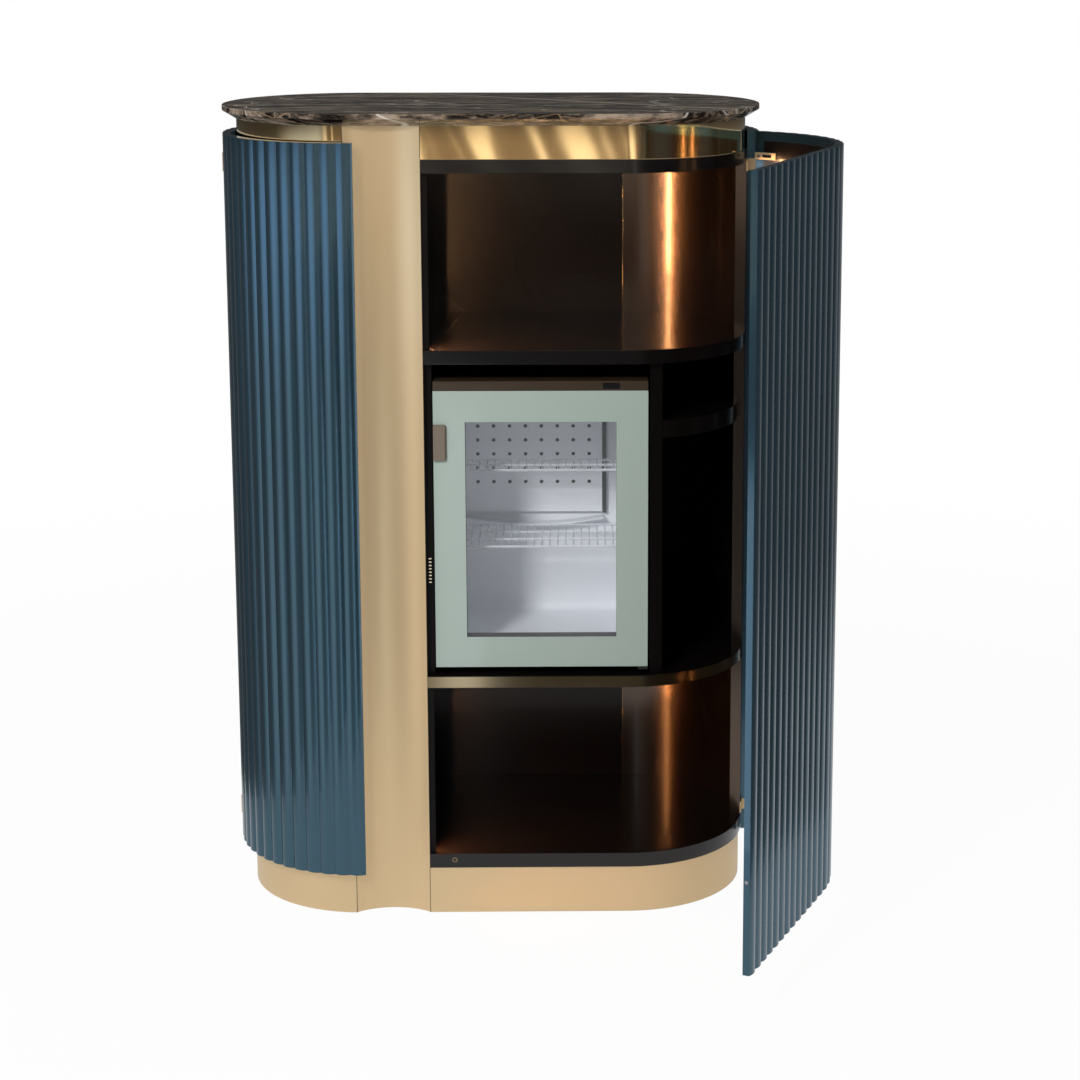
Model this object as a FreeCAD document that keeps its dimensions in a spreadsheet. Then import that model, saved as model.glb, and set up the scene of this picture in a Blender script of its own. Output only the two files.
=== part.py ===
import FreeCAD, Part
import Sketcher
import math
import os
import re

# Wine cabinet with a rounded plan: a fluted door at each end, a brass column between them,
# shelves, a small fridge with a glass door, and a stone top. Millimetres, +Z up. The origin
# is on the floor, under the middle of the plan. -Y is the front.

Vector = FreeCAD.Vector
UP = Vector(0, 0, 1)
doc = FreeCAD.newDocument("wine_cabinet")

# Driving sizes: name, value, what it is
SIZES = [
    # Plan
    ("half_straight", 250, "middle of the plan to the centre of each round end"),
    ("outer_radius", 250, "round ends at the crests of the flutes and at the stone"),
    ("door_thickness", 15.5, "doors, at the crest of a flute"),
    ("door_gap", 6.5, "doors to the edges of the panels and shelves"),
    ("band_inset", 4, "panel edges to collar, plinth and column front"),
    ("wall", 20, "curved walls and back"),
    ("wall_front", 9, "degrees that the curved walls reach forward of the middle"),
    # Levels, from the floor up
    ("plinth_height", 91, "floor to the bottom panel"),
    ("floor_panel", 28, "thickness of the bottom panel"),
    ("lower_room", 325, "height of the lower room"),
    ("middle_shelf", 23, "thickness of the shelf under the fridge"),
    ("middle_room", 588, "height of the fridge's room"),
    ("upper_shelf", 26, "thickness of the shelf over the fridge"),
    ("upper_room", 321, "height of the upper room"),
    ("roof_panel", 25, "thickness of the roof panel"),
    ("collar", 60, "height of the collar under the stone"),
    ("stone", 23, "thickness of the stone"),
    ("stone_edge", 9, "upright part of the stone's edge"),
    ("stone_bevel", 23, "how far the edge is cut back underneath"),
    ("plinth_lift", 1, "gap between the plinth and the floor"),
    # Bands and column
    ("band_sheet", 2, "brass sheet of collar, plinth and column"),
    ("frame_wall", 20, "boards behind the collar and the plinth"),
    ("column_inset", 59.25, "centre of the left end to the middle of the column"),
    ("column_width", 138.5, "width of the column"),
    ("column_hollow", 24, "depth of the column's hollow"),
    ("column_core", 8, "core behind the deepest part of the hollow"),
    ("partition", 20, "partitions behind the column"),
    # Doors and fluted panels
    ("door_drop", 6, "how far the doors hang below the bottom panel"),
    ("door_head", 28.5, "doors to the underside of the stone"),
    ("flute_depth", 4, "crest to valley"),
    ("clad_gap", 0.3, "glue line behind the fixed panels"),
    ("right_overlap", 34.5, "how far the right door covers the column"),
    ("left_overlap", 20, "how far the left door covers the column"),
    ("right_flat_flutes", 13, "flutes on the flat of the right door"),
    ("right_arc_flutes", 12, "flutes on its curve"),
    ("left_flutes", 13, "flutes on the left door"),
    ("rear_arc_flutes", 14, "flutes on each rear corner panel"),
    ("rear_flat_flutes", 17, "flutes on the back panel"),
    ("door_open", 66.5, "degrees that the right door stands open"),
    ("rim", 17, "rim of each door round its lining"),
    ("lining", 2.5, "thickness of the door linings"),
    ("lining_inset", 0.5, "rim to the face of the lining"),
    # Door hinges
    ("seam_angle", 4, "degrees that the hinge seam lies forward of the middle"),
    ("seam_gap", 1.2, "each panel's distance from the seam"),
    ("hinge_inset", 2, "crests of the flutes to the hinge axis"),
    ("knuckle_radius", 4, "hinge barrels"),
    ("knuckle_relief", 0.6, "room round the barrels in the panels"),
    ("pin_radius", 2, "hinge pins"),
    ("pin_clearance", 0.08, "play between a pin and its moving barrel"),
    ("leaf", 2.4, "thickness of the fixed hinge leaf"),
    ("leaf_height", 21.7, "height of the fixed hinge leaf"),
    ("strap", 3, "thickness of the hinge strap on the door"),
    ("strap_height", 13, "height of the strap"),
    ("strap_turn", 11, "degrees of the door that the strap covers"),
    ("strap_slot", 6, "height of the slot in the strap"),
    ("strap_slot_end", 2.2, "degrees from the strap's end to its slot"),
    ("strap_slot_turn", 5, "degrees that the slot covers"),
    ("hinge_gap", 0.3, "between the two barrels of a hinge"),
    ("top_hinge_drop", 17, "roof panel down to the foot of the upper hinge"),
    ("bottom_hinge_rise", 6, "bottom panel up to the foot of the lower hinge"),
    # Boards of the middle room and the left room
    ("divider", 23, "thickness of the board beside the fridge"),
    ("divider_gap", 4, "fridge to that board"),
    ("divider_setback", 17, "its front edge, behind the panel edges"),
    ("side_shelf", 32, "thickness of the small shelf beside the fridge"),
    ("side_shelf_drop", 110, "upper shelf down to the small shelf's top"),
    ("side_shelf_setback", 14, "its front edge, behind the panel edges"),
    ("left_shelf", 20, "thickness of the left shelves"),
    ("left_lower_rise", 311, "bottom panel to the top of the first left shelf"),
    ("left_middle_rise", 641, "bottom panel to the top of the second left shelf"),
    ("left_upper_rise", 971, "bottom panel to the top of the third left shelf"),
    ("filler_width", 14.5, "vented strip between the column and the fridge"),
    ("filler", 10, "thickness of the strip"),
    ("filler_gap", 2, "strip to the fridge"),
    ("filler_setback", 23, "its front face, behind the panel edges"),
    ("vent_rise", 173, "middle shelf to the lowest vent slot"),
    ("vent_pitch", 6.4, "slot to slot"),
    ("vent_slot", 3.2, "height of a slot"),
    ("vent_width", 6, "width of a slot"),
    # Lights
    ("led_setback", 12, "front of the light strips, behind the panel edges"),
    ("led_width", 12, "width of the light channel"),
    ("led_depth", 6, "depth of the light channel"),
    ("led_cover", 2, "thickness of the diffuser"),
    ("driver_width", 36, "power supply of the lights"),
    ("driver_depth", 60, "power supply of the lights"),
    ("driver_height", 190, "power supply of the lights"),
    ("driver_drop", 62, "roof panel down to the power supply"),
    # Feet and cable gland
    ("foot_gap", 7.8, "outer corner of a foot's block to the plinth's board"),
    ("foot_turn", 55.5, "degrees from the side to that corner"),
    ("foot_block", 60, "width of the blocks that hold the feet"),
    ("foot_height", 30, "height of a foot"),
    ("foot_radius", 20, "radius of its pad"),
    ("foot_pad", 8, "height of its pad"),
    ("foot_stem", 6, "radius of its stem"),
    ("gland_radius", 12, "cable gland at the back of the plinth"),
    ("gland_clearance", 0.2, "room round the gland in the plinth"),
    ("gland_bore", 6, "way through for a cable"),
    ("gland_flange", 18, "radius of its flange"),
    ("gland_lip", 3, "thickness of its flange"),
    ("gland_level", 45, "height of its axis"),
    # Magnet catches of the doors
    ("magnet_x", -74, "ring magnet on the edge of the bottom panel"),
    ("magnet_radius", 5, "outside of the ring magnet"),
    ("magnet_bore", 3, "inside of the ring magnet"),
    ("magnet_proud", 1.5, "how far the ring magnet stands out"),
    ("magnet_gap", 1, "magnets to their strikes"),
    ("strike_radius", 4.5, "strike on the right door"),
    ("strike_margin", 1, "strike to the edge of the lining"),
    ("catch_angle", 80, "degrees from the side to the catch of the left door"),
    ("catch_turn", 5, "degrees that this catch covers"),
    ("catch_depth", 40, "its depth"),
    ("catch_height", 14, "its height"),
    ("left_strike", 2, "thickness of the strike on the left door"),
    # Fridge: case
    ("fridge_width", 393, "width of the fridge"),
    ("fridge_setback", 13, "front of its door, behind the panel edges"),
    ("fridge_headroom", 33, "fridge to the upper shelf"),
    ("fridge_back_room", 26, "cooling unit to the back panel"),
    ("fridge_case", 26, "insulated wall of the case"),
    ("fridge_lining", 4, "wall of the inner liner"),
    ("fridge_foot", 12, "radius of the fridge's feet"),
    ("fridge_foot_height", 8, "height of the fridge's feet"),
    ("fridge_foot_inset", 30, "feet from the sides of the case"),
    ("cooler_width", 300, "cooling unit behind the case"),
    ("cooler_depth", 30, "depth of its body"),
    ("cooler_height", 380, "height of its body"),
    ("cooler_fin", 3, "thickness of a fin"),
    ("cooler_fin_depth", 32, "how far the fins stand out"),
    ("fridge_strip", 17.5, "height of the control strip over the door"),
    ("display_inset", 83, "right side of the fridge to the display's left edge"),
    ("display_width", 31, "width of the display"),
    ("display_height", 11, "height of the display"),
    ("display_proud", 0.8, "how far the display stands out"),
    # Fridge: inside
    ("plate", 2, "thickness of the perforated plate"),
    ("plate_standoff", 10, "plate to the back of the liner"),
    ("plate_inset", 15, "left side of the liner to the plate"),
    ("plate_drop", 77, "top of the liner down to the plate"),
    ("plate_width", 267, "width of the plate"),
    ("plate_height", 209, "height of the plate"),
    ("hole_inset", 25, "left edge of the plate to the first holes"),
    ("hole_rise", 60, "lower edge of the plate to the first holes"),
    ("hole_pitch_x", 31, "column to column"),
    ("hole_pitch_z", 27.7, "row to row"),
    ("hole_radius", 3.6, "holes in the plate"),
    ("rack", 5, "thickness of the racks"),
    ("rack_bar", 5, "bars of the racks"),
    ("lower_rack_rise", 215, "underside of the case to the lower rack's top"),
    ("lower_rack_setback", 56, "its front, behind the front of the case"),
    ("lower_rack_gap", 45, "its back, before the back of the liner"),
    ("upper_rack_rise", 351, "underside of the case to the upper rack's top"),
    ("upper_rack_setback", 106, "its front, behind the front of the case"),
    ("upper_rack_gap", 75, "its back, before the back of the liner"),
    # Fridge: door
    ("fridge_door", 28, "thickness of the door"),
    ("fridge_strip_gap", 0.5, "door to the control strip"),
    ("fridge_gasket", 5.7, "thickness of the door seal"),
    ("fridge_seal_gap", 0.3, "seal to the case"),
    ("gasket_margin", 10, "edge of the door to the seal"),
    ("gasket_width", 14, "width of the seal"),
    ("window_margin", 58, "painted border of the door"),
    ("glass", 6, "thickness of the pane"),
    ("glass_inset", 0.5, "pane behind the painted face"),
    ("handle_width", 24, "width of the handle"),
    ("handle_height", 66, "height of the handle"),
    ("handle_depth", 8, "how far the handle stands out"),
    ("handle_drop", 62.5, "top of the door down to the handle"),
    ("fridge_pivot", 5, "hinge axis from the door's front corner, both ways"),
    ("fridge_pin", 2.5, "radius of the fridge's hinge pins"),
    ("fridge_pin_reach", 10, "how far the pins enter the door"),
    ("bracket", 5.5, "thickness of the lower hinge bracket"),
    ("bracket_width", 18, "width of that bracket"),
    ("bracket_gap", 0.5, "bracket to the door"),
]
STACK = [
    "plinth_height", "floor_panel", "lower_room", "middle_shelf", "middle_room",
    "upper_shelf", "upper_room", "roof_panel", "collar",
]
VENT_SLOTS = 8
HOLE_COLUMNS = 8
HOLE_ROWS = 6
RACK_SLOTS = 14
COOLER_FINS = 7

sheet = doc.addObject("Spreadsheet::Sheet", "Sizes")
for row, (alias, value, meaning) in enumerate(SIZES, 1):
    sheet.set("A%d" % row, meaning)
    sheet.set("B%d" % row, str(value))
    sheet.setAlias("B%d" % row, alias)
doc.recompute()
ALIASES = {alias for alias, value, meaning in SIZES}
PARTS = []


def size(name):
    """A driving size as a number, for the shapes that are made edge by edge."""
    return float(sheet.get(name))


def cell(word):
    """A word of an expression, pointing at its cell if it is a size."""
    name = word.group()
    return "Sizes." + name if name in ALIASES else name


def bind(item, **texts):
    """Binds properties of an object to sizes; x, y and z are its place."""
    for name, text in texts.items():
        target = "Placement.Base." + name if name in ("x", "y", "z") else name
        item.setExpression(target, re.sub(r"[a-z_]+", cell, text))
    return item


def keep(item, label):
    """Names a finished sub-part."""
    item.Label = label
    PARTS.append(item)
    return item


def top_of(layer):
    """The level at the top of a layer of the cabinet."""
    return "(" + " + ".join(STACK[: STACK.index(layer) + 1]) + ")"


# Radii and levels that follow from the sizes
INSIDE = "(outer_radius - door_thickness)"
CARCASS = "(outer_radius - door_thickness - door_gap)"
BAND = "(" + CARCASS + " - band_inset)"
BACK_INSIDE = "(" + CARCASS + " - wall)"
HINGE_RADIUS = "(outer_radius - hinge_inset)"
LINING_FACE = "(" + INSIDE + " + lining_inset)"
FLOOR_TOP = top_of("floor_panel")
MIDDLE_BOTTOM = top_of("lower_room")
MIDDLE_TOP = top_of("middle_shelf")
UPPER_BOTTOM = top_of("middle_room")
UPPER_TOP = top_of("upper_shelf")
ROOF_BOTTOM = top_of("upper_room")
ROOF_TOP = top_of("roof_panel")
STONE_BOTTOM = top_of("collar")
ROOM = "(" + ROOF_BOTTOM + " - " + FLOOR_TOP + ")"
COLUMN_MID = "(column_inset - half_straight)"
COLUMN_LEFT = "(" + COLUMN_MID + " - column_width / 2)"
COLUMN_RIGHT = "(" + COLUMN_MID + " + column_width / 2)"
COLUMN_DEPTH = "(column_hollow + band_sheet + column_core)"
COLUMN_BACK = "(" + COLUMN_DEPTH + " - " + BAND + ")"
BEYOND = "(half_straight + outer_radius)"
HIGH = "(" + STONE_BOTTOM + " + stone)"


def box(name, x, y, z, length, width, height):
    """A board or block, by its lowest corner and its sizes."""
    item = doc.addObject("Part::Box", name)
    return bind(item, x=x, y=y, z=z, Length=length, Width=width, Height=height)


def rod(name, radius, x, y, z, height):
    """An upright round bar."""
    item = doc.addObject("Part::Cylinder", name)
    return bind(item, x=x, y=y, z=z, Radius=radius, Height=height)


def rod_forward(name, radius, x, y, z, length):
    """A round bar that lies along -Y, from y towards the front."""
    item = doc.addObject("Part::Cylinder", name)
    item.Placement = FreeCAD.Placement(Vector(), FreeCAD.Rotation(Vector(1, 0, 0), 90))
    return bind(item, x=x, y=y, z=z, Radius=radius, Height=length)


def cut(name, base, *tools):
    """The base with each tool taken out in turn."""
    for count, tool in enumerate(tools, 1):
        step = doc.addObject("Part::Cut", name if count == len(tools) else name + "_step")
        step.Base = base
        step.Tool = tool
        base = step
    return base


def fuse(name, *items):
    """One solid from several that meet."""
    whole = doc.addObject("Part::MultiFuse", name)
    whole.Shapes = list(items)
    whole.Refine = True
    return whole


def group(name, *items):
    """Several separate solids in one object."""
    whole = doc.addObject("Part::Compound", name)
    whole.Links = list(items)
    return whole


def mirrored(name, source):
    """The same piece at the other end of the cabinet."""
    item = doc.addObject("Part::Mirroring", name)
    item.Source = source
    item.Normal = Vector(1, 0, 0)
    return item


def plan_sketch(body, name, radius, level="0"):
    """The cabinet's plan, a rectangle with half-round ends, at a level in its body."""
    sketch = body.newObject("Sketcher::SketchObject", name)
    plane = [item for item in body.Origin.OriginFeatures if item.Role == "XY_Plane"][0]
    sketch.AttachmentSupport = [(plane, "")]
    sketch.MapMode = "FlatFace"
    half = size("half_straight")
    start = size("outer_radius")
    right = Part.Circle(Vector(half, 0, 0), UP, start)
    left = Part.Circle(Vector(-half, 0, 0), UP, start)
    sketch.addGeometry(Part.LineSegment(Vector(-half, -start, 0), Vector(half, -start, 0)))
    sketch.addGeometry(Part.ArcOfCircle(right, -math.pi / 2, math.pi / 2))
    sketch.addGeometry(Part.LineSegment(Vector(half, start, 0), Vector(-half, start, 0)))
    sketch.addGeometry(Part.ArcOfCircle(left, math.pi / 2, 3 * math.pi / 2))
    for side in range(4):
        sketch.addConstraint(Sketcher.Constraint("Tangent", side, 2, (side + 1) % 4, 1))
    sketch.addConstraint(Sketcher.Constraint("Symmetric", 1, 3, 3, 3, -1, 1))
    sketch.addConstraint(Sketcher.Constraint("PointOnObject", 1, 3, -1))
    sketch.addConstraint(Sketcher.Constraint("Equal", 1, 3))
    reach = sketch.addConstraint(Sketcher.Constraint("DistanceX", -1, 1, 1, 3, half))
    round_end = sketch.addConstraint(Sketcher.Constraint("Radius", 1, start))
    bound = {
        "AttachmentOffset.Base.z": level,
        "Constraints[%d]" % reach: "half_straight",
        "Constraints[%d]" % round_end: radius,
    }
    return bind(sketch, **bound)


def plan_slab(name, radius, z, height):
    """A slab with the cabinet's plan."""
    body = doc.addObject("PartDesign::Body", name)
    pad = body.newObject("PartDesign::Pad", name + "_pad")
    pad.Profile = plan_sketch(body, name + "_plan", radius)
    bind(pad, Length=height)
    return bind(body, z=z)


def plan_ring(name, radius, thickness, z, height, *tools):
    """An upright band that follows the plan, with its tools taken out."""
    outside = plan_slab(name + "_outside", radius, z, height)
    inside = plan_slab(name + "_inside", radius + " - " + thickness, z, height)
    return cut(name, outside, inside, *tools)


def sector(name, radius, start, turn, z, height):
    """A slice of a round bar about the origin, by angles in degrees."""
    item = doc.addObject("Part::Cylinder", name)
    item.Placement = FreeCAD.Placement(Vector(), FreeCAD.Rotation(UP, 1))
    turned = {"Placement.Rotation.Angle": start}
    return bind(item, z=z, Radius=radius, Angle=turn, Height=height, **turned)


def ring_slice(name, inner, outer, start, turn, z, height):
    """A slice of a round wall about the origin."""
    whole = sector(name + "_whole", outer, start, turn, z, height)
    return cut(name, whole, rod(name + "_inside", inner, "0", "0", z, height))


def flat(start, end, side, flutes):
    """A straight stretch of a path from one x to another, at the front (-1) or back (1)."""

    def point(share, radius):
        return Vector(start + (end - start) * share, side * radius, 0)

    return point, False, flutes


def bend(middle, start, end, flutes):
    """A round stretch of a path about (middle, 0), from one angle to another."""

    def point(share, radius):
        angle = math.radians(start + (end - start) * share)
        return Vector(middle + radius * math.cos(angle), radius * math.sin(angle), 0)

    return point, True, flutes


def strip(name, path, outer, inner, bottom, top, depth=0):
    """An upright strip along a path of stretches. With a depth, its outside is fluted."""
    lift = Vector(0, 0, bottom)
    edges = []
    for point, is_round, flutes in path:
        count = flutes if depth else 1
        for number in range(count):
            first = point(number / count, outer - depth) + lift
            middle = point((number + 0.5) / count, outer) + lift
            last = point((number + 1) / count, outer - depth) + lift
            if depth or is_round:
                edges.append(Part.Arc(first, middle, last).toShape())
            else:
                edges.append(Part.LineSegment(first, last).toShape())
    end_point = path[-1][0]
    end_line = Part.LineSegment(end_point(1, outer - depth) + lift, end_point(1, inner) + lift)
    edges.append(end_line.toShape())
    for point, is_round, flutes in reversed(path):
        first = point(1, inner) + lift
        last = point(0, inner) + lift
        if is_round:
            edges.append(Part.Arc(first, point(0.5, inner) + lift, last).toShape())
        else:
            edges.append(Part.LineSegment(first, last).toShape())
    start_point = path[0][0]
    start_line = Part.LineSegment(start_point(0, inner) + lift, start_point(0, outer - depth) + lift)
    edges.append(start_line.toShape())
    item = doc.addObject("Part::Feature", name)
    item.Shape = Part.Face(Part.Wire(edges)).extrude(Vector(0, 0, top - bottom))
    return item


# Column: a hollow brass front on a core that runs from the floor to the stone
hollow = "(((column_width / 2)^2 + column_hollow^2) / (2 * column_hollow))"
hollow_y = "(column_hollow - " + BAND + " - " + hollow + ")"
column_rise = STONE_BOTTOM + " - plinth_lift"
column_space = box(
    "column_space", COLUMN_LEFT, "-" + BAND, "plinth_lift", "column_width", COLUMN_DEPTH, column_rise
)
front_round = rod("column_front", hollow, COLUMN_MID, hollow_y, "plinth_lift", column_rise)
sheet_round = hollow + " + band_sheet"
back_round = rod("column_lining", sheet_round, COLUMN_MID, hollow_y, "plinth_lift", column_rise)
column_core = keep(cut("core", column_space, back_round), "column_core")
keep(cut("skin", column_space, front_round, column_core), "column_skin")
# The panels and bands stop at the column's sides and back
notch = box(
    "column_notch", COLUMN_LEFT, "-" + BEYOND, "0", "column_width", BEYOND + " + " + COLUMN_BACK, HIGH
)

# Stone top: a bevel that widens upwards, then a short upright edge
stone = doc.addObject("PartDesign::Body", "stone_body")
bevel = stone.newObject("PartDesign::Pad", "stone_under")
bevel.Profile = plan_sketch(stone, "stone_foot_plan", "outer_radius - stone_bevel")
bind(bevel, Length="stone - stone_edge", TaperAngle="atan(stone_bevel / (stone - stone_edge))")
edge = stone.newObject("PartDesign::Pad", "stone_upright")
edge.Profile = plan_sketch(stone, "stone_plan", "outer_radius", "stone - stone_edge")
bind(edge, Length="stone_edge")
keep(bind(stone, z=STONE_BOTTOM), "marble_top")

# Bands of brass sheet on boards: collar under the stone and plinth on the floor
frame_radius = "(" + BAND + " - band_sheet)"
frame_inside = "(" + frame_radius + " - frame_wall)"
keep(plan_ring("collar_sheet", BAND, "band_sheet", ROOF_TOP, "collar", notch), "collar_band")
keep(plan_ring("collar_frame", frame_radius, "frame_wall", ROOF_TOP, "collar", notch), "top_frame")
gland_back = BAND + " + gland_lip"
gland_length = "gland_lip + band_sheet + frame_wall"
gland_room = "gland_radius + gland_clearance"
gland_hole = rod_forward("gland_hole", gland_room, COLUMN_MID, gland_back, "gland_level", gland_length)
rise = "plinth_height - plinth_lift"
plinth = plan_ring("plinth_sheet", BAND, "band_sheet", "plinth_lift", rise, notch, gland_hole)
keep(plinth, "plinth_skin")
board = plan_ring("plinth_board", frame_radius, "frame_wall", "plinth_lift", rise, notch, gland_hole)
keep(board, "plinth_frame")
gland = fuse(
    "gland_body",
    rod_forward("gland_tube", "gland_radius", COLUMN_MID, gland_back, "gland_level", gland_length),
    rod_forward("gland_face", "gland_flange", COLUMN_MID, gland_back, "gland_level", "gland_lip"),
)
gland_way = rod_forward("gland_way", "gland_bore", COLUMN_MID, gland_back, "gland_level", gland_length)
keep(cut("gland", gland, gland_way), "cable_gland")

# Carcass: two panels, the back, two curved walls and two partitions
floor_slab = plan_slab("floor_blank", CARCASS, "plinth_height", "floor_panel")
keep(cut("floor", floor_slab, notch), "floor_panel")
roof_slab = plan_slab("roof_blank", CARCASS, ROOF_BOTTOM, "roof_panel")
keep(cut("roof", roof_slab, notch), "roof_panel")
back_board = box("back_board", "-half_straight", BACK_INSIDE, FLOOR_TOP, "2 * half_straight", "wall", ROOM)
back_panel = keep(back_board, "back_panel")
wall_turn = "90 + wall_front"
wall_slice = ring_slice("wall_slice", BACK_INSIDE, CARCASS, "-wall_front", wall_turn, FLOOR_TOP, ROOM)
right_wall = keep(bind(group("wall_right", wall_slice), x="half_straight"), "right_wall")
left_wall = keep(mirrored("wall_left", right_wall), "left_wall")
inner_depth = BACK_INSIDE + " - " + COLUMN_BACK
for label, x in (("partition_left", COLUMN_LEFT), ("partition_right", COLUMN_RIGHT + " - partition")):
    board = box(label + "_board", x, COLUMN_BACK, FLOOR_TOP, "partition", inner_depth, ROOM)
    keep(cut(label + "_cut", board, left_wall), label)

# Shelves: the plan less the walls, the back and the other room
FRIDGE_LEFT = "(" + COLUMN_RIGHT + " + filler_width + filler_gap)"
FRIDGE_RIGHT = "(" + FRIDGE_LEFT + " + fridge_width)"
DIVIDER_LEFT = "(" + FRIDGE_RIGHT + " + divider_gap)"


def beyond(name, left, length):
    """A block that takes out all of the plan over a stretch of x."""
    return box(name, left, "-" + BEYOND, "0", length, "2 * " + BEYOND, HIGH)


def shelf(label, bottom, thickness, end_wall, other_room, radius=CARCASS):
    """A fixed shelf from the plan's edge back to the walls of its room."""
    slab = plan_slab(label + "_blank", radius, bottom, thickness)
    return keep(cut(label + "_board", slab, other_room, end_wall, back_panel), label)


left_of_column = beyond("left_of_column", "-" + BEYOND, BEYOND + " + " + COLUMN_RIGHT)
right_of_column = beyond("right_of_column", COLUMN_LEFT, BEYOND + " - " + COLUMN_LEFT)
left_of_divider = beyond("left_of_divider", "-" + BEYOND, BEYOND + " + " + DIVIDER_LEFT + " + divider")
shelf("middle_shelf", MIDDLE_BOTTOM, "middle_shelf", right_wall, left_of_column)
shelf("upper_shelf", UPPER_BOTTOM, "upper_shelf", right_wall, left_of_column)
for place in ("lower", "middle", "upper"):
    bottom = FLOOR_TOP + " + left_" + place + "_rise - left_shelf"
    shelf("left_shelf_" + place, bottom, "left_shelf", left_wall, right_of_column)
side_shelf_radius = "(" + CARCASS + " - side_shelf_setback)"
bottom = UPPER_BOTTOM + " - side_shelf_drop - side_shelf"
shelf("side_shelf", bottom, "side_shelf", right_wall, left_of_divider, side_shelf_radius)

# Boards beside the fridge: a divider on its right, a vented strip on its left
right_of_divider = beyond("right_of_divider", DIVIDER_LEFT + " + divider", BEYOND)
left_of_board = beyond("left_of_board", "-" + BEYOND, BEYOND + " + " + DIVIDER_LEFT)
divider_radius = "(" + CARCASS + " - divider_setback)"
divider = plan_slab("divider_blank", divider_radius, MIDDLE_TOP, "middle_room")
divider_cuts = (left_of_board, right_of_divider, right_wall, back_panel)
keep(cut("divider_board", divider, *divider_cuts), "divider")
filler_front = "(filler_setback - " + CARCASS + ")"
filler = box("filler_board", COLUMN_RIGHT, filler_front, MIDDLE_TOP, "filler_width", "filler", "middle_room")
slots = []
for number in range(VENT_SLOTS):
    level = MIDDLE_TOP + " + vent_rise + vent_pitch * %d" % number
    slot_left = COLUMN_RIGHT + " + (filler_width - vent_width) / 2"
    slots.append(box("vent_%d" % number, slot_left, filler_front, level, "vent_width", "filler", "vent_slot"))
keep(cut("filler_cut", filler, group("vents", *slots)), "fridge_filler")

# Lights: a channel with a diffuser on the column's inner side, in the two open rooms
led_front = "led_setback - " + CARCASS
channels = []
covers = []
for place, bottom, rise in (("upper", UPPER_TOP, "upper_room"), ("lower", FLOOR_TOP, "lower_room")):
    channels.append(box("channel_" + place, COLUMN_RIGHT, led_front, bottom, "led_depth", "led_width", rise))
    cover_left = COLUMN_RIGHT + " + led_depth"
    covers.append(box("cover_" + place, cover_left, led_front, bottom, "led_cover", "led_width", rise))
keep(group("channels", *channels), "led_channels")
keep(group("covers", *covers), "led_diffusers")
driver_level = ROOF_BOTTOM + " - driver_drop - driver_height"
driver_left = COLUMN_LEFT + " + partition"
driver = box("driver", driver_left, "0", driver_level, "driver_width", "driver_depth", "driver_height")
keep(driver, "led_driver")

# Feet under blocks that hang from the bottom panel: one in the middle, four round it
blocks = []
feet = []
corner_radius = "(" + frame_inside + " - foot_gap)"
foot_x = "(half_straight + " + corner_radius + " * cos(foot_turn) - foot_block / 2)"
foot_y = "(" + corner_radius + " * sin(foot_turn) - foot_block / 2)"
for number, (side, end) in enumerate(((0, 0), (-1, -1), (-1, 1), (1, -1), (1, 1))):
    x = "%d * %s" % (side, foot_x)
    y = "%d * %s" % (end, foot_y)
    left = x + " - foot_block / 2"
    front = y + " - foot_block / 2"
    rise = "plinth_height - foot_height"
    blocks.append(box("block_%d" % number, left, front, "foot_height", "foot_block", "foot_block", rise))
    pad = rod("foot_pad_%d" % number, "foot_radius", x, y, "0", "foot_pad")
    stem = rod("foot_stem_%d" % number, "foot_stem", x, y, "0", "foot_height")
    feet.append(fuse("foot_%d" % number, pad, stem))
keep(group("blocks", *blocks), "foot_blocks")
keep(group("feet", *feet), "levelling_feet")

# Hinges of the right door, closed, about the seam: X points out of the round end, Y along it
STRAP_RISE = "leaf_height + hinge_gap"
HINGE_HEIGHT = "(" + STRAP_RISE + " + strap_height)"


def turn_of(length, radius):
    """The angle in degrees that a length covers at a radius."""
    return "((" + length + ") / " + radius + " * 180 / pi)"


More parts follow.
